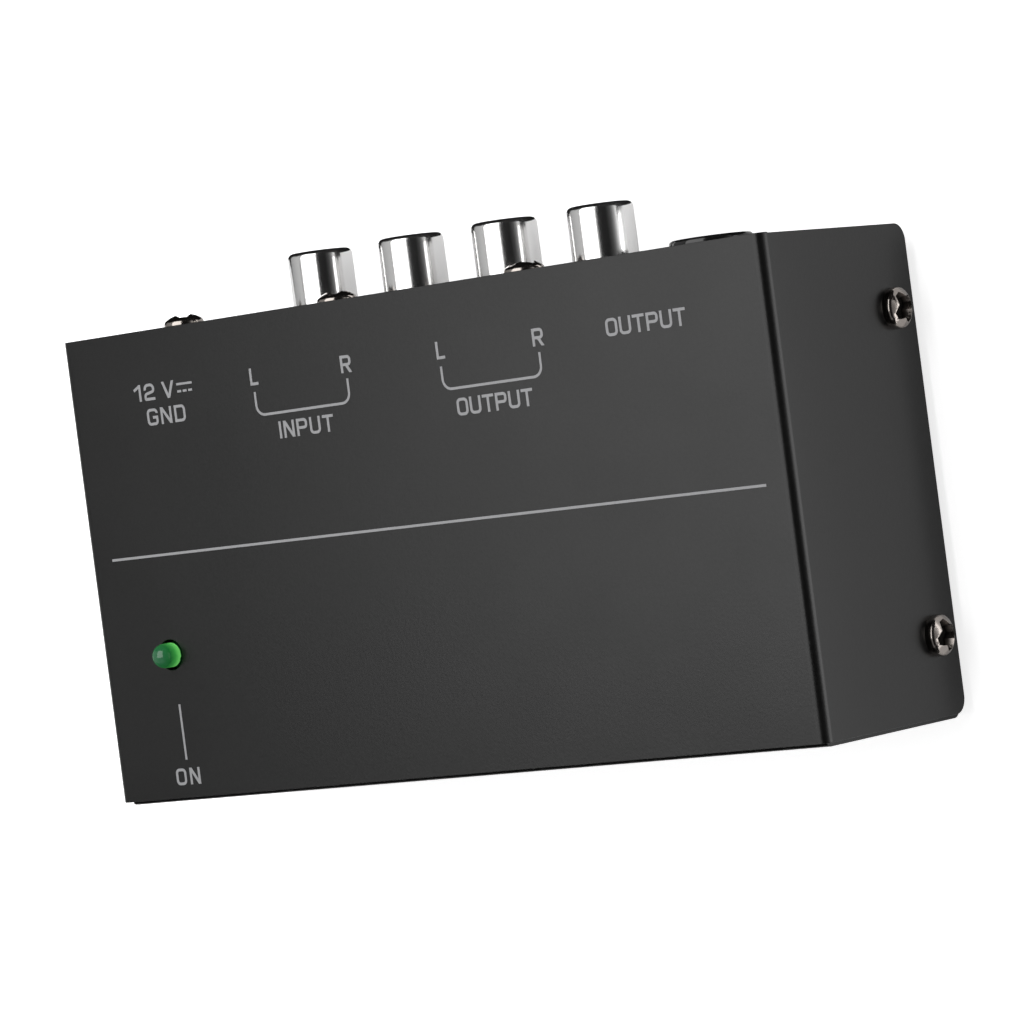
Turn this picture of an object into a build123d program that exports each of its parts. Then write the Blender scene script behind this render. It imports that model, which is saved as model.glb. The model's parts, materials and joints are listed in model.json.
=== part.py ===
from build123d import *
import math
import os

# A compact phono preamplifier in a folded steel case: a cover over a chassis that carries one
# circuit board, with all connectors on the rear panel. Lengths are in millimetres.
# Frame: +X to the right seen from the front, +Y towards the rear panel, +Z up, with the origin
# on the supporting surface under the middle of the overall box.

# ---- case ----
case_width = 105.0        # across the cover's flanges
case_depth = 58.1         # chassis front face to the cover's rear edge
case_height = 30.2        # cover's lower edge to its top
sheet = 0.8               # steel sheet of cover and chassis
bend_radius = 1.3         # outside radius of every fold
cover_setback = 0.5       # cover's front edge behind the chassis front face
flange_relief = 0.1       # flange's rear edge in front of the cover's rear edge
rear_inset = 0.3          # rear panel's face in front of the cover's rear edge
cover_gap = 0.1           # cover flange to chassis, each side
lip_length = 6.0          # return lip along the top of front and rear panels
corner_clip = 0.6         # chassis upper corners, clear of the cover's bends
flange_corner = 2.0       # rounding of the flanges' lower corners
tab_width = 12.0
tab_height = 9.5
tab_relief = 0.8          # slots beside each tab's fold
foot_height = 2.0
foot_radius = 4.2
foot_inset = 9.0
foot_top_radius = 3.8
foot_edge = 0.5

# ---- screws ----
screw_head_radius = 2.45
screw_rim_height = 1.2
screw_head_height = 1.75
screw_crown_radius = 1.5  # flat top of the head
screw_shank_radius = 1.45
screw_clear_radius = 1.7  # clearance holes
screw_tap_radius = 1.5    # tapped holes
recess_width = 0.6
recess_span = 2.7
recess_depth = 1.0
cover_screw_inset = 9.95  # from the chassis front face and from the cover's rear edge
cover_screw_height = 4.5  # above the cover's lower edge
cover_screw_length = 5.0
block_screw_length = 8.0

# ---- circuit board ----
board_thickness = 1.6
board_side_gap = 6.2      # board to the cover's flanges, outside
board_front_gap = 1.5
board_rear_gap = 0.5
standoff_height = 5.6
standoff_flats = 5.0
board_hole_radius = 1.6
board_screw_spare = 0.4   # end of a board screw above the chassis floor
standoff_side = 14.5      # front standoffs from the case's sides
standoff_front = 6.6      # and from the chassis front face
slot_margin = 0.25        # board slot round a flat pin
pin_below = 1.2           # how far pins reach below the board
press_gap = 0.05          # round a pin pressed or soldered in

# ---- RCA jacks ----
jack_height = 14.4        # axis of every jack above the cover's lower edge
jack_reach = 7.0          # shell rim behind the cover's rear edge
rca_pitch = 14.2
input_x = -15.4           # middle of the input pair
output_x = 13.0           # middle of the output pair
shell_radius = 4.0
shell_wall = 0.4
shell_rim_radius = 0.9
shell_seat = 2.6          # shell's length inside the block
shell_neck_radius = 3.8   # outside, where the shell passes the panel and the block
shell_shoulder = 0.1      # neck's end in front of the rear panel's face
shell_flange_radius = 4.95
shell_seam = 0.3
seam_step = 0.5           # sideways step in the seam
seam_step_back = 1.8      # step's distance in front of the rim
seam_angle = 20           # round the jack axis from +X towards +Z
shell_notch = 0.7
notch_angle = 100
shell_hole_gap = 0.3      # shell to the rear panel's hole
shell_bore_gap = 0.05     # shell in the block's bore
insulator_gap = 0.05
insulator_recess = 1.4    # insulator's face below the rim
contact_outer_radius = 2.0
contact_pin_radius = 1.6
contact_gap = 0.05
contact_recess = 0.4
contact_length = 9.5
contact_slit = 0.4
contact_slit_length = 6.0
tail_width = 1.2
tail_thickness = 0.4
block_width = 26.8
block_depth = 10.0
block_shoulder = 5.6      # top of the block's wings above the jack axis
block_wall = 1.2
boss_width = 8.6
block_screw_rise = 6.85   # block screw above the jack axis
boss_margin = 3.1         # block material above its screw
block_pilot_radius = 1.5
block_corner = 0.8

# ---- 6.35 mm jack ----
big_jack_x = 35.2
big_bore_radius = 3.2
nose_radius = 4.95
nose_reach = 1.15         # nose behind the cover's rear edge
nose_hole_gap = 0.15
nose_edge = 0.3
big_body_width = 15.0
big_body_depth = 29.5
big_body_rise = 6.2       # body above the axis
window_height = 5.0
window_margin = 0.5
leaf_thickness = 0.35
leaf_width = 3.6
leaf_clear = 0.15         # leaf's crown to the bore
leaf_span = 5.5           # root to crown
leaf_root = 2.6           # root's length on the outside of the housing
leaf_tip = 1.6
leaf_lift = 1.0
leaf_bend = 0.8
# side of the housing and the crown's distance behind the rear panel: sleeve, ring, tip
leaves = ((-1, 6.0), (-1, 14.0), (1, 21.5))

# ---- supply inlet ----
inlet_x = -37.3
inlet_width = 9.0
inlet_depth = 14.0
inlet_rise = 4.6
inlet_mouth_radius = 3.9
inlet_hole_gap = 0.15
inlet_bore_radius = 3.15
inlet_bore_depth = 9.5
inlet_pin_radius = 1.05
inlet_pin_recess = 0.6
inlet_spring_depth = 7.0  # behind the rear panel's inner face
inlet_spring_width = 2.0
inlet_spring_thickness = 0.3
inlet_spring_reach = 0.3  # crown inside the bore
inlet_spring_run = (3.5, 1.5)   # foot to crown and crown to free end
inlet_spring_fall = (1.15, 0.5)
inlet_slot_width = 2.6
inlet_slot = (1.5, 8.0)   # from the rear panel's inner face

# ---- ground terminal ----
ground_x = -37.3
ground_drop = 6.0         # below the cover's top
ground_screw_length = 8.0
nut_flats = 5.5
nut_thickness = 2.4
lug_thickness = 0.5
lug_radius = 2.8
lug_tongue_width = 1.8
lug_reach = 4.9           # screw axis across to the wire's axis
wire_radius = 0.7
wire_end_gap = 0.1
wire_bend_share = 0.45    # of the shorter run
wire_barrel_radius = 1.1
wire_barrel_length = 4.0
wire_landing = 22.0       # wire's foot in front of the rear panel
wire_sides = 8

# ---- indicator lamp ----
lamp_inset = 11.2         # from the case's left side
lamp_y = -10.85           # from the case's middle
lamp_radius = 1.5
lamp_rise = 2.7           # dome's top above the cover
lamp_length = 5.3
lamp_flange_radius = 1.8
lamp_flange = 1.0
lamp_hole_radius = 1.9
lamp_lead_spacing = 1.27
spacer_radius = 1.75
spacer_bore = 0.9

# ---- components on the board ----
# columns are shares of the board's half width, rows are shares of its depth from the front
amplifier_size = (9.6, 6.4, 3.3)
amplifier_row = 0.65
amplifier_rise = 0.5      # body above the board
amplifier_notch = 0.8
leg_pitch = 2.54
leg_count = 4
leg_width = 1.0
leg_thickness = 0.3
leg_reach = 0.7
film_size = (7.2, 2.5, 6.5)
film_columns = (-0.38, -0.18, 0.12, 0.33)
film_row = 0.5
signal_can = (2.5, 11.0)
signal_columns = (-0.45, -0.28, -0.11, 0.07, 0.24, 0.41)
signal_row = 0.37
supply_can = (4.0, 11.5)
supply_columns = (-0.59, -0.61, 0.615)
supply_rows = (0.52, 0.345, 0.32)
lead = 0.5                # square section of component leads
resistor_size = (1.1, 6.3)
resistor_sides = 8
resistor_pitch = 10.0
resistor_columns = (-0.48, -0.17, 0.13, 0.43)
resistor_rows = (0.1, 0.17, 0.245)
diode_size = (1.35, 5.2)
diode_pitch = 10.0
diode_column = -0.67
diode_gap = 1.1           # diode to the supply inlet
regulator_radius = 2.4
regulator_flat = 1.4      # flat's distance from the middle
regulator_height = 4.8
regulator_rise = 3.0
regulator_pitch = 1.27
regulator_column = -0.865
regulator_row = 0.5

# ---- levels and planes worked out from the sizes above ----
base_z = foot_height
floor_z = base_z + sheet
top_z = base_z + case_height
roof_z = top_z - sheet
board_z = floor_z + standoff_height
board_top = board_z + board_thickness
jack_z = base_z + jack_height
ground_z = top_z - ground_drop
front_y = -(case_depth + jack_reach) / 2
edge_y = front_y + case_depth
middle_y = front_y + case_depth / 2
panel_y = edge_y - rear_inset
inner_y = panel_y - sheet
front_inner_y = front_y + sheet
rim_y = edge_y + jack_reach
half_width = case_width / 2
chassis_half = half_width - sheet - cover_gap
cover_screw_y = case_depth / 2 - cover_screw_inset
pin_z = board_z - pin_below
nose_y = edge_y + nose_reach
shoulder_y = panel_y + shell_shoulder
lamp_x = lamp_inset - half_width
lamp_depth = middle_y + lamp_y
lamp_top = top_z + lamp_rise
lens_z = lamp_top - lamp_length
wire_x = ground_x + lug_reach
board_width = case_width - 2 * board_side_gap
board_front = front_inner_y + board_front_gap
board_rear = inner_y - board_rear_gap
amplifier_y = board_front + amplifier_row * (board_rear - board_front)
block_screw_z = jack_z + block_screw_rise
rca_x = {
    "input_left": input_x - rca_pitch / 2,
    "input_right": input_x + rca_pitch / 2,
    "output_left": output_x - rca_pitch / 2,
    "output_right": output_x + rca_pitch / 2,
}
standoff_points = [(standoff_side - half_width, front_y + standoff_front),
                   (half_width - standoff_side, front_y + standoff_front),
                   ((input_x + output_x) / 2, amplifier_y)]
made = []


def finish(part, label):
    """Label a finished piece and keep it for export."""
    part.label = label
    made.append(part)


def upright(y):
    """Plane facing the front at this depth: local x is X and local y is Z."""
    return Plane.XZ.offset(-y)


def along(y):
    """Plane facing the rear at this depth: local y is Z."""
    return Plane(origin=(0, y, 0), x_dir=(-1, 0, 0), z_dir=(0, 1, 0))


def through(x, z):
    """Plane along an axis that runs front to back at x and z: local x is Y, local y the radius."""
    return Plane(origin=(x, 0, z), x_dir=(0, 1, 0), z_dir=(1, 0, 0))


def round_jack(x, angle):
    """Plane through a jack's axis that faces away from it at this angle: local x is Y."""
    turn = math.radians(angle)
    return Plane(origin=(x, 0, jack_z), x_dir=(0, 1, 0), z_dir=(math.cos(turn), 0, math.sin(turn)))


def folded(points, thickness, radius):
    """Section of a strip folded along points, which lie on its outside face, walked clockwise."""
    with BuildSketch() as section:
        with BuildLine():
            FilletPolyline(*points, radius=radius)
            offset(amount=thickness, side=Side.RIGHT)
        make_face()
    return section.sketch


# ---- cover: top and two flanges, folded from one sheet ----
with BuildPart() as cover:
    with BuildSketch(upright(edge_y)):
        add(folded([(-half_width, base_z), (-half_width, top_z), (half_width, top_z), (half_width, base_z)],
                   sheet, bend_radius))
    extrude(amount=case_depth - cover_setback)
    with BuildSketch(Plane.YZ):
        with Locations((edge_y - flange_relief / 2, base_z + (case_height - bend_radius) / 2)):
            Rectangle(flange_relief, case_height - bend_radius)
    extrude(amount=case_width, both=True, mode=Mode.SUBTRACT)
    lower_corners = cover.edges().filter_by(Axis.X).group_by(Axis.Z)[0]
    fillet(lower_corners, radius=flange_corner)
    with BuildSketch(Plane.YZ):
        with Locations((middle_y, base_z + cover_screw_height)):
            with GridLocations(2 * cover_screw_y, 0, 2, 1):
                Circle(screw_clear_radius)
    extrude(amount=case_width, both=True, mode=Mode.SUBTRACT)
    with BuildSketch(Plane.XY.offset(top_z)):
        with Locations((lamp_x, lamp_depth)):
            Circle(lamp_hole_radius)
    extrude(amount=-2 * sheet, mode=Mode.SUBTRACT)
finish(cover.part, "cover")

# ---- chassis: floor, front and rear panels with return lips, and four folded tabs ----
with BuildPart() as chassis:
    with BuildSketch(Plane.YZ.offset(-chassis_half)):
        add(folded([(front_y + lip_length, roof_z), (front_y, roof_z), (front_y, base_z),
                    (panel_y, base_z), (panel_y, roof_z), (panel_y - lip_length, roof_z)][::-1],
                   sheet, bend_radius))
    extrude(amount=2 * chassis_half)
    with BuildSketch(upright(panel_y)):
        with Locations((-chassis_half, roof_z), (chassis_half, roof_z)):
            RegularPolygon(corner_clip, 4)
    extrude(amount=panel_y - front_y, mode=Mode.SUBTRACT)
    # the floor is notched where each tab folds up
    with BuildSketch(Plane.XY.offset(base_z)):
        with Locations((0, middle_y)):
            with GridLocations(2 * chassis_half, 2 * cover_screw_y, 2, 2):
                Rectangle(2 * bend_radius, tab_width + 2 * tab_relief)
    extrude(amount=sheet, mode=Mode.SUBTRACT)
    for side in (-1, 1):
        for step in (-1, 1):
            tab_y = middle_y + step * cover_screw_y
            tab_path = [(side * (chassis_half - 2 * bend_radius), base_z), (side * chassis_half, base_z),
                        (side * chassis_half, base_z + tab_height)]
            with BuildSketch(upright(tab_y + tab_width / 2)):
                add(folded(tab_path[::-side], sheet, bend_radius))
            extrude(amount=tab_width)
    with BuildSketch(Plane.YZ):
        with Locations((middle_y, base_z + cover_screw_height)):
            with GridLocations(2 * cover_screw_y, 0, 2, 1):
                Circle(screw_tap_radius)
    extrude(amount=case_width, both=True, mode=Mode.SUBTRACT)
    # openings in the rear panel
    with BuildSketch(upright(panel_y)):
        with Locations(*[(x, jack_z) for x in rca_x.values()]):
            Circle(shell_radius + shell_hole_gap)
        with Locations((input_x, block_screw_z), (output_x, block_screw_z), (ground_x, ground_z)):
            Circle(screw_clear_radius)
        with Locations((big_jack_x, jack_z)):
            Circle(nose_radius + nose_hole_gap)
        with Locations((inlet_x, jack_z)):
            Circle(inlet_mouth_radius + inlet_hole_gap)
    extrude(amount=sheet, mode=Mode.SUBTRACT)
finish(chassis.part, "chassis")


# ---- screws: pan heads with a cross recess ----
def pan_screw(length):
    """Pan head screw, its bearing face on the XY plane and its head above it."""
    with BuildPart() as screw:
        with BuildSketch(Plane.XZ):
            with BuildLine():
                Polyline((0, screw_head_height), (0, -length), (screw_shank_radius, -length),
                         (screw_shank_radius, 0), (screw_head_radius, 0), (screw_head_radius, screw_rim_height),
                         (screw_crown_radius, screw_head_height), close=True)
            make_face()
        revolve(axis=Axis.Z)
        with BuildSketch(Plane.XY.offset(screw_head_height)):
            Rectangle(recess_span, recess_width)
            Rectangle(recess_width, recess_span)
        extrude(amount=-recess_depth, mode=Mode.SUBTRACT)
    return screw.part


cover_screw = pan_screw(cover_screw_length)
with BuildPart() as cover_screws:
    for side in (-1, 1):
        face = Plane(origin=(side * half_width, middle_y, base_z + cover_screw_height),
                     x_dir=(0, 1, 0), z_dir=(side, 0, 0))
        with Locations(face):
            with GridLocations(2 * cover_screw_y, 0, 2, 1):
                add(cover_screw)
finish(cover_screws.part, "cover_screws")

with BuildPart() as jack_screws:
    with Locations(along(panel_y)):
        with Locations((-input_x, block_screw_z), (-output_x, block_screw_z)):
            add(pan_screw(block_screw_length))
finish(jack_screws.part, "jack_screws")

with BuildPart() as ground_screw:
    with Locations(along(panel_y)):
        with Locations((-ground_x, ground_z)):
            add(pan_screw(ground_screw_length))
finish(ground_screw.part, "ground_screw")

with BuildPart() as board_screws:
    with Locations(Plane.XY.offset(board_top)):
        with Locations(*standoff_points):
            add(pan_screw(board_thickness + standoff_height - board_screw_spare))
finish(board_screws.part, "board_screws")

# ---- rubber feet ----
foot_taper = math.degrees(math.atan((foot_radius - foot_top_radius) / foot_height))
for name, side, depth in (("foot_front_left", -1, front_y + foot_inset),
                          ("foot_front_right", 1, front_y + foot_inset),
                          ("foot_rear_left", -1, panel_y - foot_inset),
                          ("foot_rear_right", 1, panel_y - foot_inset)):
    with BuildPart() as foot:
        with BuildSketch(Plane(origin=(side * (half_width - foot_inset), depth, 0), z_dir=(0, 0, 1))):
            Circle(foot_top_radius)
        extrude(amount=foot_height, taper=-foot_taper)
        chamfer(foot.edges().group_by(Axis.Z)[0], length=foot_edge)
    finish(foot.part, name)


def leaf_tail(side, crown):
    """Middle of a jack leaf's tail in plan."""
    root = inner_y - crown - leaf_span - leaf_root
    return big_jack_x + side * (big_body_width + leaf_thickness) / 2, root + tail_width / 2


# ---- circuit board with its slots and holes ----
tail_depths = (inner_y - shell_seat - tail_thickness / 2, inner_y - contact_length + tail_thickness / 2)
with BuildPart() as circuit_board:
    with BuildSketch(Plane.XY.offset(board_z)):
        with Locations((0, (board_front + board_rear) / 2)):
            Rectangle(board_width, board_rear - board_front)
        with Locations(*standoff_points):
            Circle(board_hole_radius, mode=Mode.SUBTRACT)
        with Locations(*[(x, y) for x in rca_x.values() for y in tail_depths]):
            Rectangle(tail_width + 2 * slot_margin, tail_thickness + 2 * slot_margin, mode=Mode.SUBTRACT)
        with Locations(*[leaf_tail(side, crown) for side, crown in leaves]):
            Rectangle(leaf_thickness + 2 * slot_margin, tail_width + 2 * slot_margin, mode=Mode.SUBTRACT)
        with Locations((inlet_x, inner_y - inlet_depth - tail_thickness / 2)):
            Rectangle(2 * (inlet_pin_radius + slot_margin), tail_thickness + 2 * slot_margin, mode=Mode.SUBTRACT)
        with Locations((inlet_x, inner_y - inlet_spring_depth + inlet_spring_thickness / 2)):
            Rectangle(inlet_spring_width + 2 * slot_margin, inlet_spring_thickness + 2 * slot_margin,
                      mode=Mode.SUBTRACT)
        with Locations((lamp_x, lamp_depth)):
            with GridLocations(lamp_lead_spacing, 0, 2, 1):
                Rectangle(spacer_bore, spacer_bore, mode=Mode.SUBTRACT)
    extrude(amount=board_thickness)
finish(circuit_board.part, "circuit_board")

with BuildPart() as standoffs:
    with BuildSketch(Plane.XY.offset(floor_z)):
        with Locations(*standoff_points):
            RegularPolygon(standoff_flats / 2, 6, major_radius=False)
            Circle(screw_tap_radius, mode=Mode.SUBTRACT)
    extrude(amount=standoff_height)
finish(standoffs.part, "standoffs")

# ---- RCA jack blocks: a moulded housing for two jacks with a screw boss between them ----
for name, middle in (("input_jack_block", input_x), ("output_jack_block", output_x)):
    with BuildPart() as block:
        wing_height = jack_z + block_shoulder - board_top
        boss_top = block_screw_z + boss_margin
        with BuildSketch(upright(inner_y)):
            with Locations((middle, board_top)):
                Rectangle(block_width, wing_height, align=(Align.CENTER, Align.MIN))
                Rectangle(boss_width, boss_top - board_top, align=(Align.CENTER, Align.MIN))
        extrude(amount=block_depth)
        upper_edges = block.edges().filter_by(Axis.Y).filter_by(lambda edge: edge.center().Z > jack_z)
        fillet(upper_edges, radius=block_corner)
        # pockets open at the back and the underside
        with BuildSketch(upright(inner_y - block_depth)):
            with Locations((middle, board_top)):
                with GridLocations(rca_pitch, 0, 2, 1):
                    Rectangle(rca_pitch - 2 * block_wall, wing_height - block_wall,
                              align=(Align.CENTER, Align.MIN))
        extrude(amount=-(block_depth - shell_seat), mode=Mode.SUBTRACT)
        with BuildSketch(upright(inner_y)):
            with Locations((middle, jack_z)):
                with GridLocations(rca_pitch, 0, 2, 1):
                    Circle(shell_neck_radius + shell_bore_gap)
        extrude(amount=shell_seat, mode=Mode.SUBTRACT)
        with BuildSketch(upright(inner_y)):
            with Locations((middle, jack_z)):
                with GridLocations(rca_pitch, 0, 2, 1):
                    Circle(shell_flange_radius + shell_bore_gap)
        extrude(amount=shell_wall, mode=Mode.SUBTRACT)
        with BuildSketch(upright(inner_y)):
            with Locations((middle, block_screw_z)):
                Circle(block_pilot_radius)
        extrude(amount=block_screw_length, mode=Mode.SUBTRACT)
    finish(block.part, name)

# ---- RCA jacks: rolled shell with a curled rim and a seam, insulator and sprung centre contact ----
for place, x in rca_x.items():
    axis = Axis((x, 0, jack_z), (0, 1, 0))
    with BuildPart() as shell:
        bore = shell_radius - shell_wall
        curl_start = rim_y - shell_rim_radius
        curl_bevel = shell_rim_radius * (1 - math.cos(math.radians(45)))
        with BuildSketch(through(x, jack_z)):
            with BuildLine():
                Polyline((inner_y - shell_seat, bore), (inner_y - shell_seat, shell_neck_radius),
                         (shoulder_y, shell_neck_radius), (shoulder_y, shell_radius),
                         (curl_start, shell_radius), (rim_y - curl_bevel, shell_radius - curl_bevel),
                         (rim_y, shell_radius - shell_rim_radius),
                         (rim_y - shell_wall, shell_radius - shell_rim_radius), (curl_start, bore), close=True)
            make_face()
            with Locations((inner_y - shell_wall, shell_neck_radius)):
                Rectangle(shell_wall, shell_flange_radius - shell_neck_radius, align=Align.MIN)
        revolve(axis=axis)
        # the stepped seam where the rolled sheet meets, and the notch at the shell's foot
        seam_turn = rim_y - seam_step_back
        with BuildSketch(round_jack(x, seam_angle)):
            with Locations((inner_y, -seam_step / 2)):
                Rectangle(seam_turn - inner_y, shell_seam, align=(Align.MIN, Align.CENTER))
            with Locations((seam_turn, seam_step / 2)):
                Rectangle(seam_step_back, shell_seam, align=(Align.MIN, Align.CENTER))
            with Locations((seam_turn, 0)):
                Rectangle(shell_seam, seam_step + shell_seam)
        extrude(amount=2 * shell_radius, mode=Mode.SUBTRACT)
        with BuildSketch(round_jack(x, notch_angle)):
            with Locations((panel_y, 0)):
                Rectangle(shell_notch, shell_notch, align=(Align.MIN, Align.CENTER))
        extrude(amount=2 * shell_radius, mode=Mode.SUBTRACT)
        with BuildSketch(upright(inner_y - shell_seat)):
            with Locations((x, pin_z)):
                Rectangle(tail_width, jack_z - (shell_neck_radius + bore) / 2 - pin_z,
                          align=(Align.CENTER, Align.MIN))
        extrude(amount=tail_thickness)
    finish(shell.part, f"{place}_shell")

    with BuildPart() as insulator:
        with BuildSketch(upright(rim_y - insulator_recess)):
            with Locations((x, jack_z)):
                Circle(bore - insulator_gap)
                Circle(contact_outer_radius + contact_gap, mode=Mode.SUBTRACT)
        extrude(amount=rim_y - insulator_recess - inner_y + shell_seat)
    finish(insulator.part, f"{place}_insulator")

    with BuildPart() as contact:
        contact_front = rim_y - insulator_recess - contact_recess
        contact_rear = inner_y - contact_length
        with BuildSketch(through(x, jack_z)):
            with BuildLine():
                Polyline((contact_rear, 0), (contact_rear, contact_outer_radius),
                         (contact_front, contact_outer_radius), (contact_front, contact_pin_radius),
                         (contact_rear + tail_thickness, contact_pin_radius),
                         (contact_rear + tail_thickness, 0), close=True)
            make_face()
        revolve(axis=axis)
        with BuildSketch(upright(contact_front)):
            with Locations((x, jack_z)):
                Rectangle(contact_slit, 2 * contact_outer_radius)
        extrude(amount=contact_slit_length, mode=Mode.SUBTRACT)
        with BuildSketch(upright(contact_rear + tail_thickness)):
            with Locations((x, pin_z)):
                Rectangle(tail_width, jack_z - pin_z, align=(Align.CENTER, Align.MIN))
        extrude(amount=tail_thickness)
    finish(contact.part, f"{place}_contact")

# ---- 6.35 mm jack: housing with a window for each leaf, and its leaf springs ----
with BuildPart() as output_jack_housing:
    with BuildSketch(upright(inner_y)):
        with Locations((big_jack_x, board_top)):
            Rectangle(big_body_width, jack_z + big_body_rise - board_top, align=(Align.CENTER, Align.MIN))
    extrude(amount=big_body_depth)
    fillet(output_jack_housing.edges().filter_by(Axis.Y).group_by(Axis.Z)[-1], radius=block_corner)
    with BuildSketch(upright(nose_y)):
        with Locations((big_jack_x, jack_z)):
            Circle(nose_radius)
    extrude(amount=nose_y - inner_y)
    with BuildSketch(upright(nose_y)):
        with Locations((big_jack_x, jack_z)):
            Circle(big_bore_radius)
    extrude(amount=nose_y - inner_y + big_body_depth, mode=Mode.SUBTRACT)
    chamfer(output_jack_housing.edges().group_by(Axis.Y)[-1], length=nose_edge)
    for side, crown in leaves:
        window_rear = inner_y - crown - leaf_span - leaf_bend
        window_front = inner_y - crown + leaf_tip + window_margin
        with BuildSketch(Plane.XY.offset(jack_z)):
            with Locations((big_jack_x + side * big_body_width / 2, window_rear)):
                Rectangle(big_body_width, window_front - window_rear, align=(Align.CENTER, Align.MIN))
        extrude(amount=window_height / 2, both=True, mode=Mode.SUBTRACT)
finish(output_jack_housing.part, "output_jack_housing")

with BuildPart() as output_jack_leaves:
    for side, crown in leaves:
        outer_face = big_jack_x + side * big_body_width / 2
        crown_face = big_jack_x + side * (big_bore_radius + leaf_clear)
        root_y = inner_y - crown - leaf_span
        leaf = [(outer_face, root_y - leaf_root), (outer_face, root_y), (crown_face, inner_y - crown),
                (crown_face + side * leaf_lift, inner_y - crown + leaf_tip)]
        with BuildSketch(Plane.XY.offset(jack_z)):
            add(folded(leaf[::side], leaf_thickness, leaf_bend))
        extrude(amount=leaf_width / 2, both=True)
        with BuildSketch(Plane.XY.offset(pin_z)):
            with Locations(leaf_tail(side, crown)):
                Rectangle(leaf_thickness, tail_width)
        extrude(amount=jack_z - pin_z)
finish(output_jack_leaves.part, "output_jack_leaves")

# ---- supply inlet: housing, centre pin and spring under the bore ----
with BuildPart() as inlet_housing:
    with BuildSketch(upright(inner_y)):
        with Locations((inlet_x, board_top)):
            Rectangle(inlet_width, jack_z + inlet_rise - board_top, align=(Align.CENTER, Align.MIN))
    extrude(amount=inlet_depth)
    fillet(inlet_housing.edges().filter_by(Axis.Y).group_by(Axis.Z)[-1], radius=block_corner)
    with BuildSketch(upright(panel_y)):
        with Locations((inlet_x, jack_z)):
            Circle(inlet_mouth_radius)
    extrude(amount=sheet)
    with BuildSketch(upright(panel_y)):
        with Locations((inlet_x, jack_z)):
            Circle(inlet_bore_radius)
    extrude(amount=inlet_bore_depth, mode=Mode.SUBTRACT)
    with BuildSketch(upright(inner_y)):
        with Locations((inlet_x, jack_z)):
            Circle(inlet_pin_radius + press_gap)
    extrude(amount=inlet_depth, mode=Mode.SUBTRACT)
    with BuildSketch(Plane.XY.offset(board_top)):
        with Locations((inlet_x, inner_y - inlet_slot[1])):
            Rectangle(inlet_slot_width, inlet_slot[1] - inlet_slot[0], align=(Align.CENTER, Align.MIN))
    extrude(amount=jack_z - board_top - inlet_pin_radius - press_gap, mode=Mode.SUBTRACT)
finish(inlet_housing.part, "inlet_housing")

with BuildPart() as inlet_pin:
    with BuildSketch(upright(panel_y - inlet_pin_recess)):
        with Locations((inlet_x, jack_z)):
            Circle(inlet_pin_radius)
    extrude(amount=panel_y - inlet_pin_recess - inner_y + inlet_depth)
    chamfer(inlet_pin.edges().group_by(Axis.Y)[-1], length=inlet_pin_radius / 2)
    with BuildSketch(upright(inner_y - inlet_depth)):
        with Locations((inlet_x, pin_z)):
            Rectangle(2 * inlet_pin_radius, jack_z + inlet_pin_radius - pin_z, align=(Align.CENTER, Align.MIN))
    extrude(amount=tail_thickness)
finish(inlet_pin.part, "inlet_pin")

with BuildPart() as inlet_spring:
    foot_y = inner_y - inlet_spring_depth
    crown_z = jack_z - inlet_bore_radius + inlet_spring_reach
    with BuildSketch(Plane.YZ.offset(inlet_x - inlet_spring_width / 2)):
        add(folded([(foot_y, pin_z), (foot_y, crown_z - inlet_spring_fall[0]),
                    (foot_y + inlet_spring_run[0], crown_z),
                    (foot_y + sum(inlet_spring_run), crown_z - inlet_spring_fall[1])],
                   inlet_spring_thickness, leaf_bend))
    extrude(amount=inlet_spring_width)
finish(inlet_spring.part, "inlet_spring")

# ---- ground terminal inside the case: ring lug, nut and wire ----
with BuildPart() as ground_lug:
    with BuildSketch(upright(inner_y)):
        with Locations((ground_x, ground_z)):
            Circle(lug_radius)
            Rectangle(lug_reach, lug_tongue_width, align=(Align.MIN, Align.CENTER))
            Circle(screw_clear_radius, mode=Mode.SUBTRACT)
        with Locations((wire_x, ground_z)):
            Circle(wire_barrel_radius)
    extrude(amount=lug_thickness)
    with BuildSketch(upright(inner_y - lug_thickness)):
        with Locations((wire_x, ground_z)):
            Circle(wire_barrel_radius)
            Circle(wire_radius + press_gap, mode=Mode.SUBTRACT)
    extrude(amount=wire_barrel_length - lug_thickness)
finish(ground_lug.part, "ground_lug")

with BuildPart() as ground_nut:
    with BuildSketch(upright(inner_y - lug_thickness)):
        with Locations((ground_x, ground_z)):
            RegularPolygon(nut_flats / 2, 6, major_radius=False)
            Circle(screw_tap_radius, mode=Mode.SUBTRACT)
    extrude(amount=nut_thickness)
finish(ground_nut.part, "ground_nut")

with BuildPart() as ground_wire:
    wire_start = inner_y - lug_thickness - wire_end_gap
    wire_foot = inner_y - wire_landing
    with BuildLine():
        FilletPolyline((wire_x, wire_start, ground_z), (wire_x, wire_foot, ground_z),
                       (wire_x, wire_foot, board_top),
                       radius=wire_bend_share * min(wire_start - wire_foot, ground_z - board_top))
    with BuildSketch(Plane(origin=(wire_x, wire_start, ground_z), x_dir=(1, 0, 0), z_dir=(0, -1, 0))):
        RegularPolygon(wire_radius, wire_sides)
    sweep()
finish(ground_wire.part, "ground_wire")

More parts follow.
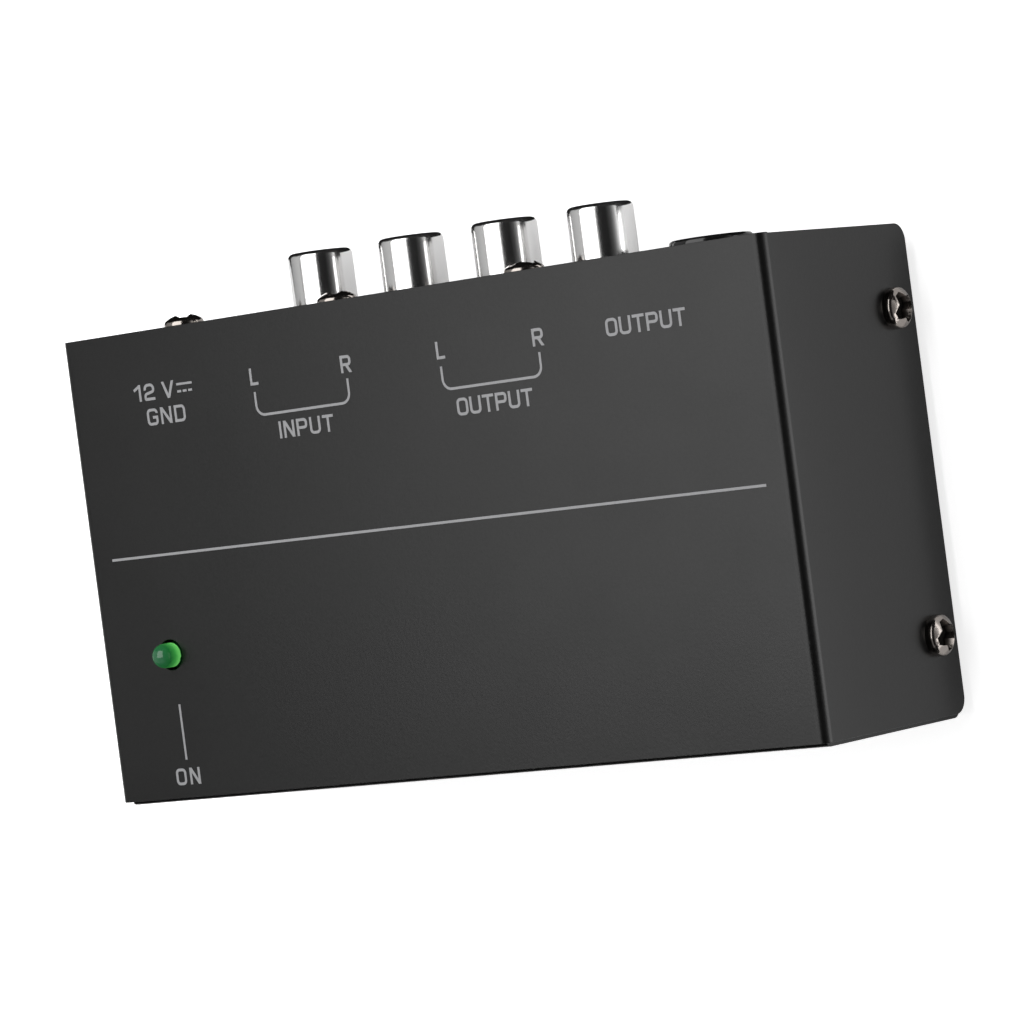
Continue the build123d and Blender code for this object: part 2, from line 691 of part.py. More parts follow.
# ---- indicator lamp: lens, two leads and the spacer that holds it up ----
with BuildPart() as lamp_lens:
    with BuildSketch(upright(lamp_depth)):
        with BuildLine():
            Polyline((lamp_x, lamp_top), (lamp_x, lens_z), (lamp_x + lamp_flange_radius, lens_z),
                     (lamp_x + lamp_flange_radius, lens_z + lamp_flange),
                     (lamp_x + lamp_radius, lens_z + lamp_flange),
                     (lamp_x + lamp_radius, lamp_top - lamp_radius))
            RadiusArc((lamp_x, lamp_top), (lamp_x + lamp_radius, lamp_top - lamp_radius), lamp_radius)
        make_face()
    revolve(axis=Axis((lamp_x, lamp_depth, 0), (0, 0, 1)))
finish(lamp_lens.part, "lamp_lens")

with BuildPart() as lamp_leads:
    with BuildSketch(Plane.XY.offset(pin_z)):
        with Locations((lamp_x, lamp_depth)):
            with GridLocations(lamp_lead_spacing, 0, 2, 1):
                Rectangle(lead, lead)
    extrude(amount=lens_z - pin_z)
finish(lamp_leads.part, "lamp_leads")

with BuildPart() as lamp_spacer:
    with BuildSketch(Plane.XY.offset(board_top)):
        with Locations((lamp_x, lamp_depth)):
            Circle(spacer_radius)
            with GridLocations(lamp_lead_spacing, 0, 2, 1):
                Rectangle(spacer_bore, spacer_bore, mode=Mode.SUBTRACT)
    extrude(amount=lens_z - board_top)
finish(lamp_spacer.part, "lamp_spacer")


# ---- components on the board ----
def spot(column, row):
    """Place on the board's upper face at these shares of its half width and depth."""
    return Location((column * board_width / 2, board_front + row * (board_rear - board_front), board_top))


def axial_leads(radius, length, pitch):
    """Bent leads of an axial component along X whose body rests on the XY plane."""
    with BuildPart() as leads:
        with BuildSketch(upright(lead / 2)):
            with GridLocations(pitch, 0, 2, 1):
                Rectangle(lead, radius + lead / 2, align=(Align.CENTER, Align.MIN))
            with Locations((0, radius)):
                Rectangle(pitch, lead)
                Rectangle(length, lead, mode=Mode.SUBTRACT)
        extrude(amount=lead)
    return leads.part


amplifier_places = [Location((x, amplifier_y, board_top)) for x in (input_x, output_x)]
length, width, height = amplifier_size
with BuildPart() as amplifiers:
    with BuildSketch(Plane.XY.offset(board_top + amplifier_rise)):
        with Locations((input_x, amplifier_y), (output_x, amplifier_y)):
            Rectangle(length, width)
            with Locations((-length / 2, 0)):
                Circle(amplifier_notch, mode=Mode.SUBTRACT)
    extrude(amount=height)
finish(amplifiers.part, "amplifiers")

with BuildPart() as leg_pair:
    leg_top = amplifier_rise + (height + leg_thickness) / 2
    leg_span = width + 2 * leg_reach
    with BuildSketch(Plane.YZ.offset(-leg_width / 2)):
        with Locations((0, leg_top)):
            Rectangle(leg_span, leg_thickness, align=(Align.CENTER, Align.MAX))
            Rectangle(width, leg_thickness, align=(Align.CENTER, Align.MAX), mode=Mode.SUBTRACT)
        with GridLocations(leg_span - leg_thickness, 0, 2, 1):
            Rectangle(leg_thickness, leg_top, align=(Align.CENTER, Align.MIN))
    extrude(amount=leg_width)

with BuildPart() as amplifier_legs:
    with Locations(*amplifier_places):
        with GridLocations(leg_pitch, 0, leg_count, 1):
            add(leg_pair.part)
finish(amplifier_legs.part, "amplifier_legs")

with BuildPart() as film_capacitors:
    with Locations(*[spot(column, film_row) for column in film_columns]):
        Box(*film_size, align=(Align.CENTER, Align.CENTER, Align.MIN))
finish(film_capacitors.part, "film_capacitors")

with BuildPart() as signal_capacitors:
    with Locations(*[spot(column, signal_row) for column in signal_columns]):
        Cylinder(*signal_can, align=(Align.CENTER, Align.CENTER, Align.MIN))
finish(signal_capacitors.part, "signal_capacitors")

with BuildPart() as supply_capacitors:
    with Locations(*[spot(column, row) for column, row in zip(supply_columns, supply_rows)]):
        Cylinder(*supply_can, align=(Align.CENTER, Align.CENTER, Align.MIN))
finish(supply_capacitors.part, "supply_capacitors")

with BuildPart() as resistor:
    radius, length = resistor_size
    with BuildSketch(Plane.YZ.offset(-length / 2)):
        with Locations((0, radius)):
            RegularPolygon(radius, resistor_sides, major_radius=False, rotation=180 / resistor_sides)
    extrude(amount=length)

resistor_places = [spot(column, row) for column in resistor_columns for row in resistor_rows]
with BuildPart() as resistors:
    with Locations(*resistor_places):
        add(resistor.part)
finish(resistors.part, "resistors")

with BuildPart() as resistor_leads:
    with Locations(*resistor_places):
        add(axial_leads(*resistor_size, resistor_pitch))
finish(resistor_leads.part, "resistor_leads")

diode_y = inner_y - inlet_depth - diode_gap - diode_size[0]
diode_place = Location((diode_column * board_width / 2, diode_y, board_top))
with BuildPart() as protection_diode:
    with Locations(diode_place):
        with Locations((0, 0, diode_size[0])):
            Cylinder(*diode_size, rotation=(0, 90, 0))
finish(protection_diode.part, "protection_diode")

with BuildPart() as diode_leads:
    with Locations(diode_place):
        add(axial_leads(*diode_size, diode_pitch))
finish(diode_leads.part, "diode_leads")

regulator_plane = Plane(spot(regulator_column, regulator_row))
with BuildPart() as regulator:
    with BuildSketch(regulator_plane.offset(regulator_rise)):
        Circle(regulator_radius)
        with Locations((0, -regulator_flat)):
            Rectangle(2 * regulator_radius, regulator_radius, align=(Align.CENTER, Align.MAX),
                      mode=Mode.SUBTRACT)
    extrude(amount=regulator_height)
finish(regulator.part, "regulator")

with BuildPart() as regulator_legs:
    with BuildSketch(regulator_plane):
        with GridLocations(regulator_pitch, 0, 3, 1):
            Rectangle(lead, lead)
    extrude(amount=regulator_rise)
finish(regulator_legs.part, "regulator_legs")

os.makedirs("parts", exist_ok=True)
for piece in made:
    export_step(piece, f"parts/{piece.label}.step")
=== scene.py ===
import json
import math
import bmesh
import bpy
import numpy as np
from mathutils import Matrix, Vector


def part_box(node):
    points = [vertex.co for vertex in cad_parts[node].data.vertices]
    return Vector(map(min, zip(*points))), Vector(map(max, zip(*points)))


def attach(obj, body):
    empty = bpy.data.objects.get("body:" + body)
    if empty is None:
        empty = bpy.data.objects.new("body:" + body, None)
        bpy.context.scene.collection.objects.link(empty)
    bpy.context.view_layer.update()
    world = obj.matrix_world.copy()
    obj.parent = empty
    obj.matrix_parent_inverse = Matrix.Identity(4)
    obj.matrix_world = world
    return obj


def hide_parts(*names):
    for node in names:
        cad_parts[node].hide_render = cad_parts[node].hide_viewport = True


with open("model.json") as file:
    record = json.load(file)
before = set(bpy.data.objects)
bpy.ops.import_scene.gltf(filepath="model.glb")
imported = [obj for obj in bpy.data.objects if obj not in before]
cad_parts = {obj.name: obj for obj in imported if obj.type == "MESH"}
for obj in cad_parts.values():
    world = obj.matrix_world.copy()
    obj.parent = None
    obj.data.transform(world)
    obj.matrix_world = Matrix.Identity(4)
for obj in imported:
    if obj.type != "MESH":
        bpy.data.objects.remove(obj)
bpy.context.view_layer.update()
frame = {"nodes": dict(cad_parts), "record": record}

MM = 0.001
TAU = 2 * math.pi
RIGHT, FRONT, BACK = (1, 0, 0), (0, -1, 0), (0, 1, 0)
UP, DOWN = (0, 0, 1), (0, 0, -1)
NEARLY_UP = (0.01, 0.02, 1)      # upward, but along no axis that a round piece has


def node_box(node):
    """Lowest and highest corner of a CAD node in millimetres."""
    low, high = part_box(node)
    return np.array(low) / MM, np.array(high) / MM


def node_middle(node):
    """Middle of a CAD node's box in millimetres."""
    low, high = node_box(node)
    return (low + high) / 2


# ---- sizes in millimetres, worked out from the frame ----
cover_low, cover_high = node_box("cover")
chassis_low, chassis_high = node_box("chassis")
case_half, top_z, base_z = cover_high[0], cover_high[2], cover_low[2]
cover_front, cover_rear = cover_low[1], cover_high[1]
chassis_half = chassis_high[0]
front_y, panel_y, roof_z = chassis_low[1], chassis_high[1], chassis_high[2]
middle_y = (front_y + cover_rear) / 2
sheet = top_z - roof_z
inner_y = panel_y - sheet
bend_radius = 1.3
lens_low, lens_high = node_box("lamp_lens")
lamp_x, lamp_y = (lens_low[:2] + lens_high[:2]) / 2
shell_flange_radius = 4.95       # ring that holds an RCA shell behind the panel
jack_x = {place: node_box(f"{place}_shell")[0][0] + shell_flange_radius
          for place in ("input_left", "input_right", "output_left", "output_right")}
pair_x = {pair: (jack_x[f"{pair}_left"] + jack_x[f"{pair}_right"]) / 2
          for pair in ("input", "output")}
shell_low, shell_high = node_box("input_left_shell")
pin_z, rim_y = shell_low[2], shell_high[1]
jack_z = node_middle("input_left_insulator")[2]
body_low, body_high = node_box("output_jack_housing")
big_jack_x = (body_low[0] + body_high[0]) / 2
inlet_x = node_middle("inlet_pin")[0]
screw_low, screw_high = node_box("ground_screw")
ground_x, ground_z = (screw_low[0] + screw_high[0]) / 2, (screw_low[2] + screw_high[2]) / 2
head_radius = (screw_high[0] - screw_low[0]) / 2
head_height = screw_high[1] - panel_y
block_screw_z = node_middle("jack_screws")[2]
side_low, side_high = node_box("cover_screws")
side_screw_z = (side_low[2] + side_high[2]) / 2
side_screw_y = (side_low[1] + head_radius, side_high[1] - head_radius)
clear_radius = 1.7               # hole that a screw passes through
tap_radius = 1.5                 # hole that a screw is driven into


# ---- surfaces ----
same_point = 1e-8                # points this near, in metres, are merged
same_after_cut = 2e-7            # and this near where a cut has left slivers


def make_piece(name, points, faces, material=None, crease=40, closed=True):
    """Mesh object from points in millimetres, shaded smooth up to the crease's angle.

    Doubles are merged, and the faces of a closed mesh are made to point out.
    """
    mesh = bpy.data.meshes.new(name)
    mesh.from_pydata((np.asarray(points, float) * MM).tolist(), [], faces)
    work = bmesh.new()
    work.from_mesh(mesh)
    bmesh.ops.remove_doubles(work, verts=work.verts, dist=same_point)
    if closed:
        bmesh.ops.recalc_face_normals(work, faces=work.faces)
    work.to_mesh(mesh)
    work.free()
    mesh.validate()
    if material:
        mesh.materials.append(material)
    mesh.shade_smooth()
    mesh.set_sharp_from_angle(angle=math.radians(crease))
    piece = bpy.data.objects.new(name, mesh)
    bpy.context.scene.collection.objects.link(piece)
    return piece


def grid_faces(rows, columns, wrap_rows=False, wrap_columns=False):
    """Quads between the points of a grid of rows by columns, wrapped round in either direction."""
    i, j = np.meshgrid(np.arange(rows if wrap_rows else rows - 1),
                       np.arange(columns if wrap_columns else columns - 1), indexing="ij")
    i, j = i.ravel(), j.ravel()
    row, next_row, beside = i * columns, (i + 1) % rows * columns, (j + 1) % columns
    return np.stack([row + j, row + beside, next_row + beside, next_row + j], axis=1).tolist()


def axes_of(direction, up=UP):
    """Columns sideways, upwards and along the direction, each a unit vector."""
    z = np.asarray(direction, float) / np.linalg.norm(direction)
    x = np.cross(up, z)
    x = x / np.linalg.norm(x)
    return np.stack([x, np.cross(z, x), z], axis=1)


def rounded(corners, radii, steps=8, closed=True):
    """Outline with each corner replaced by the arc of its radius that is tangent to both sides."""
    corners = np.asarray(corners, float)
    count = len(corners)
    radii = np.broadcast_to(radii, count)
    runs = []
    for k in range(count):
        if radii[k] <= 0 or (not closed and k in (0, count - 1)):
            runs.append(corners[k][None])
            continue
        back = corners[k - 1] - corners[k]
        ahead = corners[(k + 1) % count] - corners[k]
        back, ahead = back / np.linalg.norm(back), ahead / np.linalg.norm(ahead)
        half = math.acos(float(np.clip(back @ ahead, -1, 1))) / 2
        middle = (back + ahead) / np.linalg.norm(back + ahead)
        centre = corners[k] + middle * radii[k] / math.sin(half)
        start = corners[k] + back * radii[k] / math.tan(half) - centre
        way = -np.sign(back[0] * ahead[1] - back[1] * ahead[0])
        angle = way * np.linspace(0, math.pi - 2 * half, steps + 1)
        across = np.cos(angle) * start[0] - np.sin(angle) * start[1]
        along = np.sin(angle) * start[0] + np.cos(angle) * start[1]
        runs.append(centre + np.stack([across, along], axis=1))
    return np.concatenate(runs)


def ring(radius, around):
    """Points of a circle."""
    angle = np.arange(around) * TAU / around
    return np.stack([radius * np.cos(angle), radius * np.sin(angle)], axis=1)


def turned(name, profile, origin, direction, material=None, around=72, closed_profile=False):
    """Surface of revolution about the direction through the origin.

    Each point (radius, height) of the profile goes round a circle of its radius at its height.
    """
    profile = np.asarray(profile, float)
    circles = profile[:, None, :1] * ring(1, around)[None]
    heights = np.repeat(profile[:, None, 1:], around, axis=1)
    local = np.concatenate([circles, heights], axis=2).reshape(-1, 3)
    points = local @ axes_of(direction, NEARLY_UP).T + np.asarray(origin, float)
    faces = grid_faces(len(profile), around, closed_profile, True)
    return make_piece(name, points, faces, material)


def prism(name, outline, origin, direction, length, material=None, up=UP, far_scale=1.0):
    """Solid of a closed outline carried along the direction; its far end is scaled by far_scale."""
    near = np.concatenate([outline, np.zeros((len(outline), 1))], axis=1)
    far = near * [far_scale, far_scale, 1] + [0, 0, length]
    count = len(near)
    points = np.concatenate([near, far]) @ axes_of(direction, up).T + np.asarray(origin, float)
    ends = [list(range(count)), list(range(count, 2 * count))]
    return make_piece(name, points, grid_faces(2, count, False, True) + ends, material)


def box(low, high):
    """Cuboid between two corners."""
    low, high = np.asarray(low, float), np.asarray(high, float)
    x, y = (high - low)[:2] / 2
    middle = (low + high) / 2
    return prism("block", [(-x, -y), (x, -y), (x, y), (-x, y)], (middle[0], middle[1], low[2]),
                 UP, high[2] - low[2], up=FRONT)


def peg(origin, direction, radius, length):
    """Round cutter from the origin along the direction."""
    return prism("peg", ring(radius, 64), origin, direction, length, up=NEARLY_UP)


def bake(piece):
    """Turns the piece's modifiers into its mesh."""
    shown = piece.evaluated_get(bpy.context.evaluated_depsgraph_get())
    mesh = bpy.data.meshes.new_from_object(shown)
    piece.modifiers.clear()
    piece.data = mesh


def combine(piece, others, operation="DIFFERENCE"):
    """Subtracts, adds or intersects the other solids, which are then gone."""
    for other in others:
        step = piece.modifiers.new("combine", "BOOLEAN")
        step.operation = operation
        step.solver = "EXACT"
        step.object = other
    bake(piece)
    for other in others:
        bpy.data.objects.remove(other)
    return piece


def soften(piece, width, angle=35):
    """Rounds every edge sharper than the angle by the width and shades flat faces flat."""
    merge = bmesh.new()
    merge.from_mesh(piece.data)
    bmesh.ops.remove_doubles(merge, verts=merge.verts, dist=same_after_cut)
    bmesh.ops.dissolve_degenerate(merge, edges=merge.edges, dist=same_after_cut)
    merge.to_mesh(piece.data)
    merge.free()
    step = piece.modifiers.new("edge", "BEVEL")
    step.width = width * MM
    step.segments = 2
    step.limit_method = "ANGLE"
    step.angle_limit = math.radians(angle)
    step.miter_outer = "MITER_ARC"
    bake(piece)
    piece.data.shade_smooth()
    piece.data.set_sharp_from_angle(angle=math.radians(60))
    weigh = piece.modifiers.new("flat faces", "WEIGHTED_NORMAL")
    weigh.keep_sharp = True
    bake(piece)
    return piece


def taken(piece):
    """The piece's points in millimetres and the point numbers of each face; it is then gone."""
    mesh = piece.data
    points = np.empty(len(mesh.vertices) * 3)
    mesh.vertices.foreach_get("co", points)
    corners = np.empty(len(mesh.loops), np.int32)
    mesh.loops.foreach_get("vertex_index", corners)
    starts = np.empty(len(mesh.polygons), np.int32)
    mesh.polygons.foreach_get("loop_start", starts)
    bpy.data.objects.remove(piece)
    return points.reshape(-1, 3) / MM, np.split(corners, starts[1:])


def gather(name, pieces, material=None):
    """One mesh object from several."""
    points, faces, count = [], [], 0
    for piece in pieces:
        here, shape = taken(piece)
        points.append(here)
        faces += [(face + count).tolist() for face in shape]
        count += len(here)
    return make_piece(name, np.concatenate(points), faces, material)


def settle(piece, nodes=(), body="case"):
    """The piece rides on its body and stands for these CAD nodes, which are hidden."""
    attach(piece, body)
    if nodes:
        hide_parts(*nodes)
    return piece


# ---- finishes ----
def shader(name, **sockets):
    """New material: its nodes, its links and its shader with these constant sockets."""
    material = bpy.data.materials.new(name)
    material.use_nodes = True
    nodes, links = material.node_tree.nodes, material.node_tree.links
    principled = nodes["Principled BSDF"]
    for socket, value in sockets.items():
        principled.inputs[socket.replace("_", " ")].default_value = value
    return material, nodes, links, principled


def noise(nodes, links, scale, detail=2.0, roughness=0.5):
    """Noise in Object coordinates, with the scale in cycles per metre."""
    coordinates = nodes.new("ShaderNodeTexCoord")
    texture = nodes.new("ShaderNodeTexNoise")
    texture.inputs["Scale"].default_value = scale
    texture.inputs["Detail"].default_value = detail
    texture.inputs["Roughness"].default_value = roughness
    links.new(coordinates.outputs["Object"], texture.inputs["Vector"])
    return texture.outputs["Fac"]


def carried(nodes, links, source, low, high, to_low, to_high):
    """The source's range low..high carried to to_low..to_high, and no further."""
    span = nodes.new("ShaderNodeMapRange")
    for socket, value in (("From Min", low), ("From Max", high), ("To Min", to_low),
                          ("To Max", to_high)):
        span.inputs[socket].default_value = value
    links.new(source, span.inputs["Value"])
    return span.outputs["Result"]


def tint(nodes, links, source, dark, light):
    """Colour between dark and light by the source."""
    mix = nodes.new("ShaderNodeMix")
    mix.data_type = "RGBA"
    mix.inputs["A"].default_value = (*dark, 1)
    mix.inputs["B"].default_value = (*light, 1)
    links.new(source, mix.inputs["Factor"])
    return mix.outputs["Result"]


def relief(nodes, links, principled, source, strength, depth):
    """Bump of this depth in metres."""
    bump = nodes.new("ShaderNodeBump")
    bump.inputs["Strength"].default_value = strength
    bump.inputs["Distance"].default_value = depth
    links.new(source, bump.inputs["Height"])
    links.new(bump.outputs["Normal"], principled.inputs["Normal"])


noise_range = (0.3, 0.7)         # where most of a noise's values lie
patch_ratio = 30                 # patches of gloss are this much wider than the grain


def coat(name, dark, light, gloss, fine, depth, strength=0.25, **sockets):
    """A finish whose colour and surface vary with a fine noise, and its roughness in patches.

    The colour runs from dark to light, the roughness over the range gloss; fine is in cycles per
    metre, and depth is the relief's, in metres.
    """
    material, nodes, links, principled = shader(name, **sockets)
    grain = noise(nodes, links, fine, detail=3, roughness=0.6)
    patches = noise(nodes, links, fine / patch_ratio)
    links.new(tint(nodes, links, grain, dark, light), principled.inputs["Base Color"])
    links.new(carried(nodes, links, patches, *noise_range, *gloss), principled.inputs["Roughness"])
    relief(nodes, links, principled, grain, strength, depth)
    return material


lens_heights = (0.0315, 0.0349)  # metres above the floor from the first of the stops to the last
# colours by height: near black at the first two stops, painted shade where the body sits in the
# hole under the top; bright green at the third, painted light gathered low in the body; darker
# green up to the dome
lens_stops = ((0.0, (0.0, 0.01, 0.002)), (0.2, (0.002, 0.03, 0.008)), (0.24, (0.25, 1.0, 0.22)),
              (0.5, (0.07, 0.5, 0.09)), (0.75, (0.015, 0.16, 0.035)), (1.0, (0.02, 0.11, 0.045)))
lens_waver = 0.0003              # metres by which the noise shifts them
lens_grain = 2500
# strength of the faint painted glow, in the colours of the stops
lens_painted_glow = 0.3


def lens_painted_light(name):
    """Tinted lens whose colour follows the wavering height: painted light low in the body, painted
    shade below it, a faint painted glow.
    """
    material, nodes, links, principled = shader(name, Roughness=0.12, IOR=1.52)
    place = nodes.new("ShaderNodeTexCoord")
    parts = nodes.new("ShaderNodeSeparateXYZ")
    links.new(place.outputs["Object"], parts.inputs["Vector"])
    uneven = nodes.new("ShaderNodeMath")
    uneven.operation = "MULTIPLY_ADD"
    uneven.inputs[1].default_value = lens_waver
    links.new(noise(nodes, links, lens_grain), uneven.inputs[0])
    links.new(parts.outputs["Z"], uneven.inputs[2])
    ramp = nodes.new("ShaderNodeValToRGB")
    for k, (at, colour) in enumerate(lens_stops):
        stop = ramp.color_ramp.elements[k] if k < 2 else ramp.color_ramp.elements.new(at)
        stop.position, stop.color = at, (*colour, 1)
    height = carried(nodes, links, uneven.outputs["Value"], *lens_heights, 0, 1)
    links.new(height, ramp.inputs["Fac"])
    links.new(ramp.outputs["Color"], principled.inputs["Base Color"])
    links.new(ramp.outputs["Color"], principled.inputs["Emission Color"])
    principled.inputs["Emission Strength"].default_value = lens_painted_glow
    return material


def paint_recess_shade(material):
    """Where the attribute "recess" is 1, the plating is painted nearly black and dull: painted
    shade in the cross recess.
    """
    nodes, links = material.node_tree.nodes, material.node_tree.links
    principled = nodes["Principled BSDF"]
    deep = nodes.new("ShaderNodeAttribute")
    deep.attribute_name = "recess"
    # nearly black, dull plating: painted shade in the recess
    for socket, kind, value in (("Base Color", "RGBA", (0.012, 0.011, 0.01, 1)),
                                ("Roughness", "FLOAT", 0.5)):
        mix = nodes.new("ShaderNodeMix")
        mix.data_type = kind
        links.new(principled.inputs[socket].links[0].from_socket, mix.inputs["A"])
        mix.inputs["B"].default_value = value
        links.new(deep.outputs["Fac"], mix.inputs["Factor"])
        links.new(mix.outputs["Result"], principled.inputs[socket])


finishes = {
    "powder_coat": coat("powder coat", (0.002, 0.002, 0.002), (0.0083, 0.0083, 0.0082),
                        (0.28, 0.31), 2600, 0.00003, 0.3, Specular_IOR_Level=0.36),
    "black_nickel": coat("black nickel", (0.29, 0.262, 0.243), (0.4, 0.362, 0.335),
                         (0.12, 0.18), 1500, 0.000004, Metallic=1.0),
    "shell_plating": coat("bright plating", (0.88, 0.875, 0.87), (0.94, 0.935, 0.93),
                          (0.13, 0.17), 900, 0.000002, 0.1, Metallic=1.0),
    "insulator_plastic": coat("insulator", (0.6, 0.6, 0.58), (0.7, 0.7, 0.68),
                              (0.35, 0.45), 1500, 0.00001),
    "contact_brass": coat("tinned brass", (0.62, 0.56, 0.42), (0.75, 0.69, 0.53),
                          (0.22, 0.34), 1200, 0.000004, Metallic=1.0),
    "moulded_plastic": coat("moulded plastic", (0.016, 0.016, 0.016), (0.026, 0.026, 0.026),
                            (0.38, 0.5), 1800, 0.00001),
    "nose_plastic": coat("gloss plastic", (0.008, 0.008, 0.008), (0.013, 0.013, 0.013),
                         (0.1, 0.16), 1200, 0.000005, 0.1),
    "rubber": coat("rubber", (0.02, 0.02, 0.02), (0.035, 0.034, 0.033),
                   (0.7, 0.85), 2500, 0.00002),
    "board_laminate": coat("board laminate", (0.01, 0.1, 0.035), (0.018, 0.16, 0.05),
                           (0.3, 0.4), 900, 0.00001),
    "zinc_steel": coat("zinc plate", (0.45, 0.45, 0.44), (0.6, 0.6, 0.58),
                       (0.25, 0.4), 900, 0.000005, Metallic=1.0),
    "component_plastic": coat("component epoxy", (0.016, 0.016, 0.016), (0.026, 0.026, 0.026),
                              (0.4, 0.5), 2000, 0.00001),
    "film_plastic": coat("film capacitor", (0.32, 0.03, 0.02), (0.45, 0.05, 0.03),
                         (0.25, 0.35), 900, 0.00001),
    "can_sleeve": coat("can sleeve", (0.02, 0.02, 0.035), (0.035, 0.035, 0.06),
                       (0.2, 0.3), 900, 0.000005),
    "resistor_lacquer": coat("resistor lacquer", (0.25, 0.42, 0.5), (0.32, 0.5, 0.6),
                             (0.25, 0.35), 1500, 0.00001),
    "tinned_wire": coat("tinned wire", (0.55, 0.55, 0.53), (0.7, 0.7, 0.68),
                        (0.2, 0.35), 1500, 0.000004, Metallic=1.0),
    # the lens's colour paints light and shade, and it has a faint painted glow
    "green_lens": lens_painted_light("green lens"),
    "spacer_nylon": coat("nylon", (0.62, 0.62, 0.58), (0.7, 0.7, 0.66),
                         (0.4, 0.5), 1200, 0.00001),
    "wire_cover": coat("wire cover", (0.015, 0.015, 0.015), (0.025, 0.025, 0.025),
                       (0.4, 0.55), 1500, 0.00001),
}
# painted shade darkens the cross recesses of the screws
paint_recess_shade(finishes["black_nickel"])
legend_ink = coat("legend ink", (0.29, 0.29, 0.3), (0.37, 0.37, 0.38), (0.5, 0.6), 4200, 0.00001)

for row in frame["record"]["subparts"]:
    node = frame["nodes"][row["node"]]
    node.data.materials.clear()
    node.data.materials.append(finishes[row["material_slot"]])


# ---- folded sheet metal ----
beyond = 2.0                     # how far cutters reach past the sheet
edge_round = 0.18
bend_steps = 10


def folded(corners):
    """Closed section of the sheet folded along corners on its outside face, walked clockwise.

    The inside's corners are the same ones moved along their mitres, by the sheet's thickness
    measured square to either side.
    """
    corners = np.asarray(corners, float)
    run = np.diff(corners, axis=0)
    run = run / np.linalg.norm(run, axis=1)[:, None]
    side = np.stack([run[:, 1], -run[:, 0]], axis=1)
    turn = side[:-1] + side[1:]
    turn = turn / np.sum(turn * side[1:], axis=1)[:, None]
    inward = np.concatenate([side[:1], turn, side[-1:]])
    outside = rounded(corners, bend_radius, bend_steps, closed=False)
    inside = rounded(corners + sheet * inward, bend_radius - sheet, bend_steps, closed=False)
    return np.concatenate([outside, inside[::-1]])


flange_relief = 0.1              # by which the flanges end short of the top's rear edge
flange_corner = 2.0
lamp_hole_radius = 1.9


def cover():
    """Folded top and flanges, trimmed at the back and the lower corners, with its holes."""
    section = folded([(-case_half, base_z), (-case_half, top_z), (case_half, top_z),
                      (case_half, base_z)])
    piece = prism("cover_shell", section, (0, cover_rear + beyond, 0), FRONT,
                  cover_rear - cover_front + 2 * beyond, finishes["powder_coat"])
    outside, across = -case_half - beyond, 2 * (case_half + beyond)
    step_y, step_z = cover_rear - flange_relief, top_z - bend_radius
    trim = rounded([(cover_front, top_z + beyond), (cover_front, base_z), (step_y, base_z),
                    (step_y, step_z), (cover_rear, step_z), (cover_rear, top_z + beyond)],
                   [0, flange_corner, flange_corner, 0, 0, 0])
    combine(piece, [prism("trim", trim, (outside, 0, 0), RIGHT, across)], "INTERSECT")
    holes = [peg((outside, y, side_screw_z), RIGHT, clear_radius, across) for y in side_screw_y]
    holes.append(peg((lamp_x, lamp_y, roof_z - beyond), UP, lamp_hole_radius, sheet + 2 * beyond))
    combine(piece, holes)
    return settle(soften(piece, edge_round), ["cover"])


lip_length = 6.0
corner_clip = 0.6                # cut off the upper corners, to clear the cover's fold
tab_width = 12.0
tab_height = 9.5
tab_relief = 0.8
shell_hole_radius = 4.3
nose_hole_radius = 5.1
inlet_hole_radius = 4.05


def chassis():
    """Folded floor, front and rear panels and their lips, with the cover screws' tabs and holes."""
    section = folded([(panel_y - lip_length, roof_z), (panel_y, roof_z), (panel_y, base_z),
                      (front_y, base_z), (front_y, roof_z), (front_y + lip_length, roof_z)])
    piece = prism("chassis_shell", section, (-chassis_half, 0, 0), RIGHT, 2 * chassis_half,
                  finishes["powder_coat"])
    outside, across = -chassis_half - beyond, 2 * (chassis_half + beyond)
    cutters = [prism("clip", ring(corner_clip, 4), (side * chassis_half, panel_y + beyond, roof_z),
                     FRONT, panel_y - front_y + 2 * beyond) for side in (-1, 1)]
    tabs = []
    for side in (-1, 1):
        edge, half = side * chassis_half, tab_width / 2 + tab_relief
        path = [(side * (chassis_half - 2 * bend_radius), base_z), (edge, base_z),
                (edge, base_z + tab_height)]
        for y in side_screw_y:
            cutters.append(box((edge - bend_radius, y - half, base_z - beyond),
                               (edge + bend_radius, y + half, base_z + bend_radius)))
            tabs.append(prism("tab", folded(path[::-side]), (0, y + tab_width / 2, 0), FRONT,
                              tab_width))
    combine(piece, cutters)
    combine(piece, tabs, "UNION")
    openings = [(x, jack_z, shell_hole_radius) for x in jack_x.values()]
    openings += [(x, block_screw_z, clear_radius) for x in pair_x.values()]
    openings += [(ground_x, ground_z, clear_radius), (big_jack_x, jack_z, nose_hole_radius),
                 (inlet_x, jack_z, inlet_hole_radius)]
    holes = [peg((x, panel_y + beyond, z), FRONT, radius, sheet + 2 * beyond)
             for x, z, radius in openings]
    holes += [peg((outside, y, side_screw_z), RIGHT, tap_radius, across) for y in side_screw_y]
    combine(piece, holes)
    return settle(soften(piece, edge_round), ["chassis"])


cover()
chassis()

# ---- screws ----
shank_radius = 1.45
crown_radius = 3.4               # sphere that the head's top is part of
crown_top = 1.1                  # radius at which the crown is highest, at the recess's edge
crown_reach = 1.9                # radius at which the shoulder begins
shoulder_round = 0.6
thread_pitch = 0.5
thread_depth = 0.18
recess_span = 4.1
recess_waist = 1.55              # width of an arm of the cross where it begins to narrow
recess_depth = 1.45
recess_taper = 0.8               # the recess's outline at its bottom over that at its top
cross_neck = 1.25                # how far out two arms meet, in half waists
cross_bend = 0.72                # how far out an arm begins to narrow, in half spans
cross_tip = 0.62                 # width of an arm at its end, in waists
recess_edge = 0.05
# which points of a screw take the painted shade of the cross recess
shade_level = 0.02               # no point lower than this above the bearing face is shaded
shade_depth = 0.12               # nor one that is less than this under the crown
shade_reach = 2.0                # for this, the crown is taken as level beyond this radius
side_length, rear_length = 5.0, 8.0


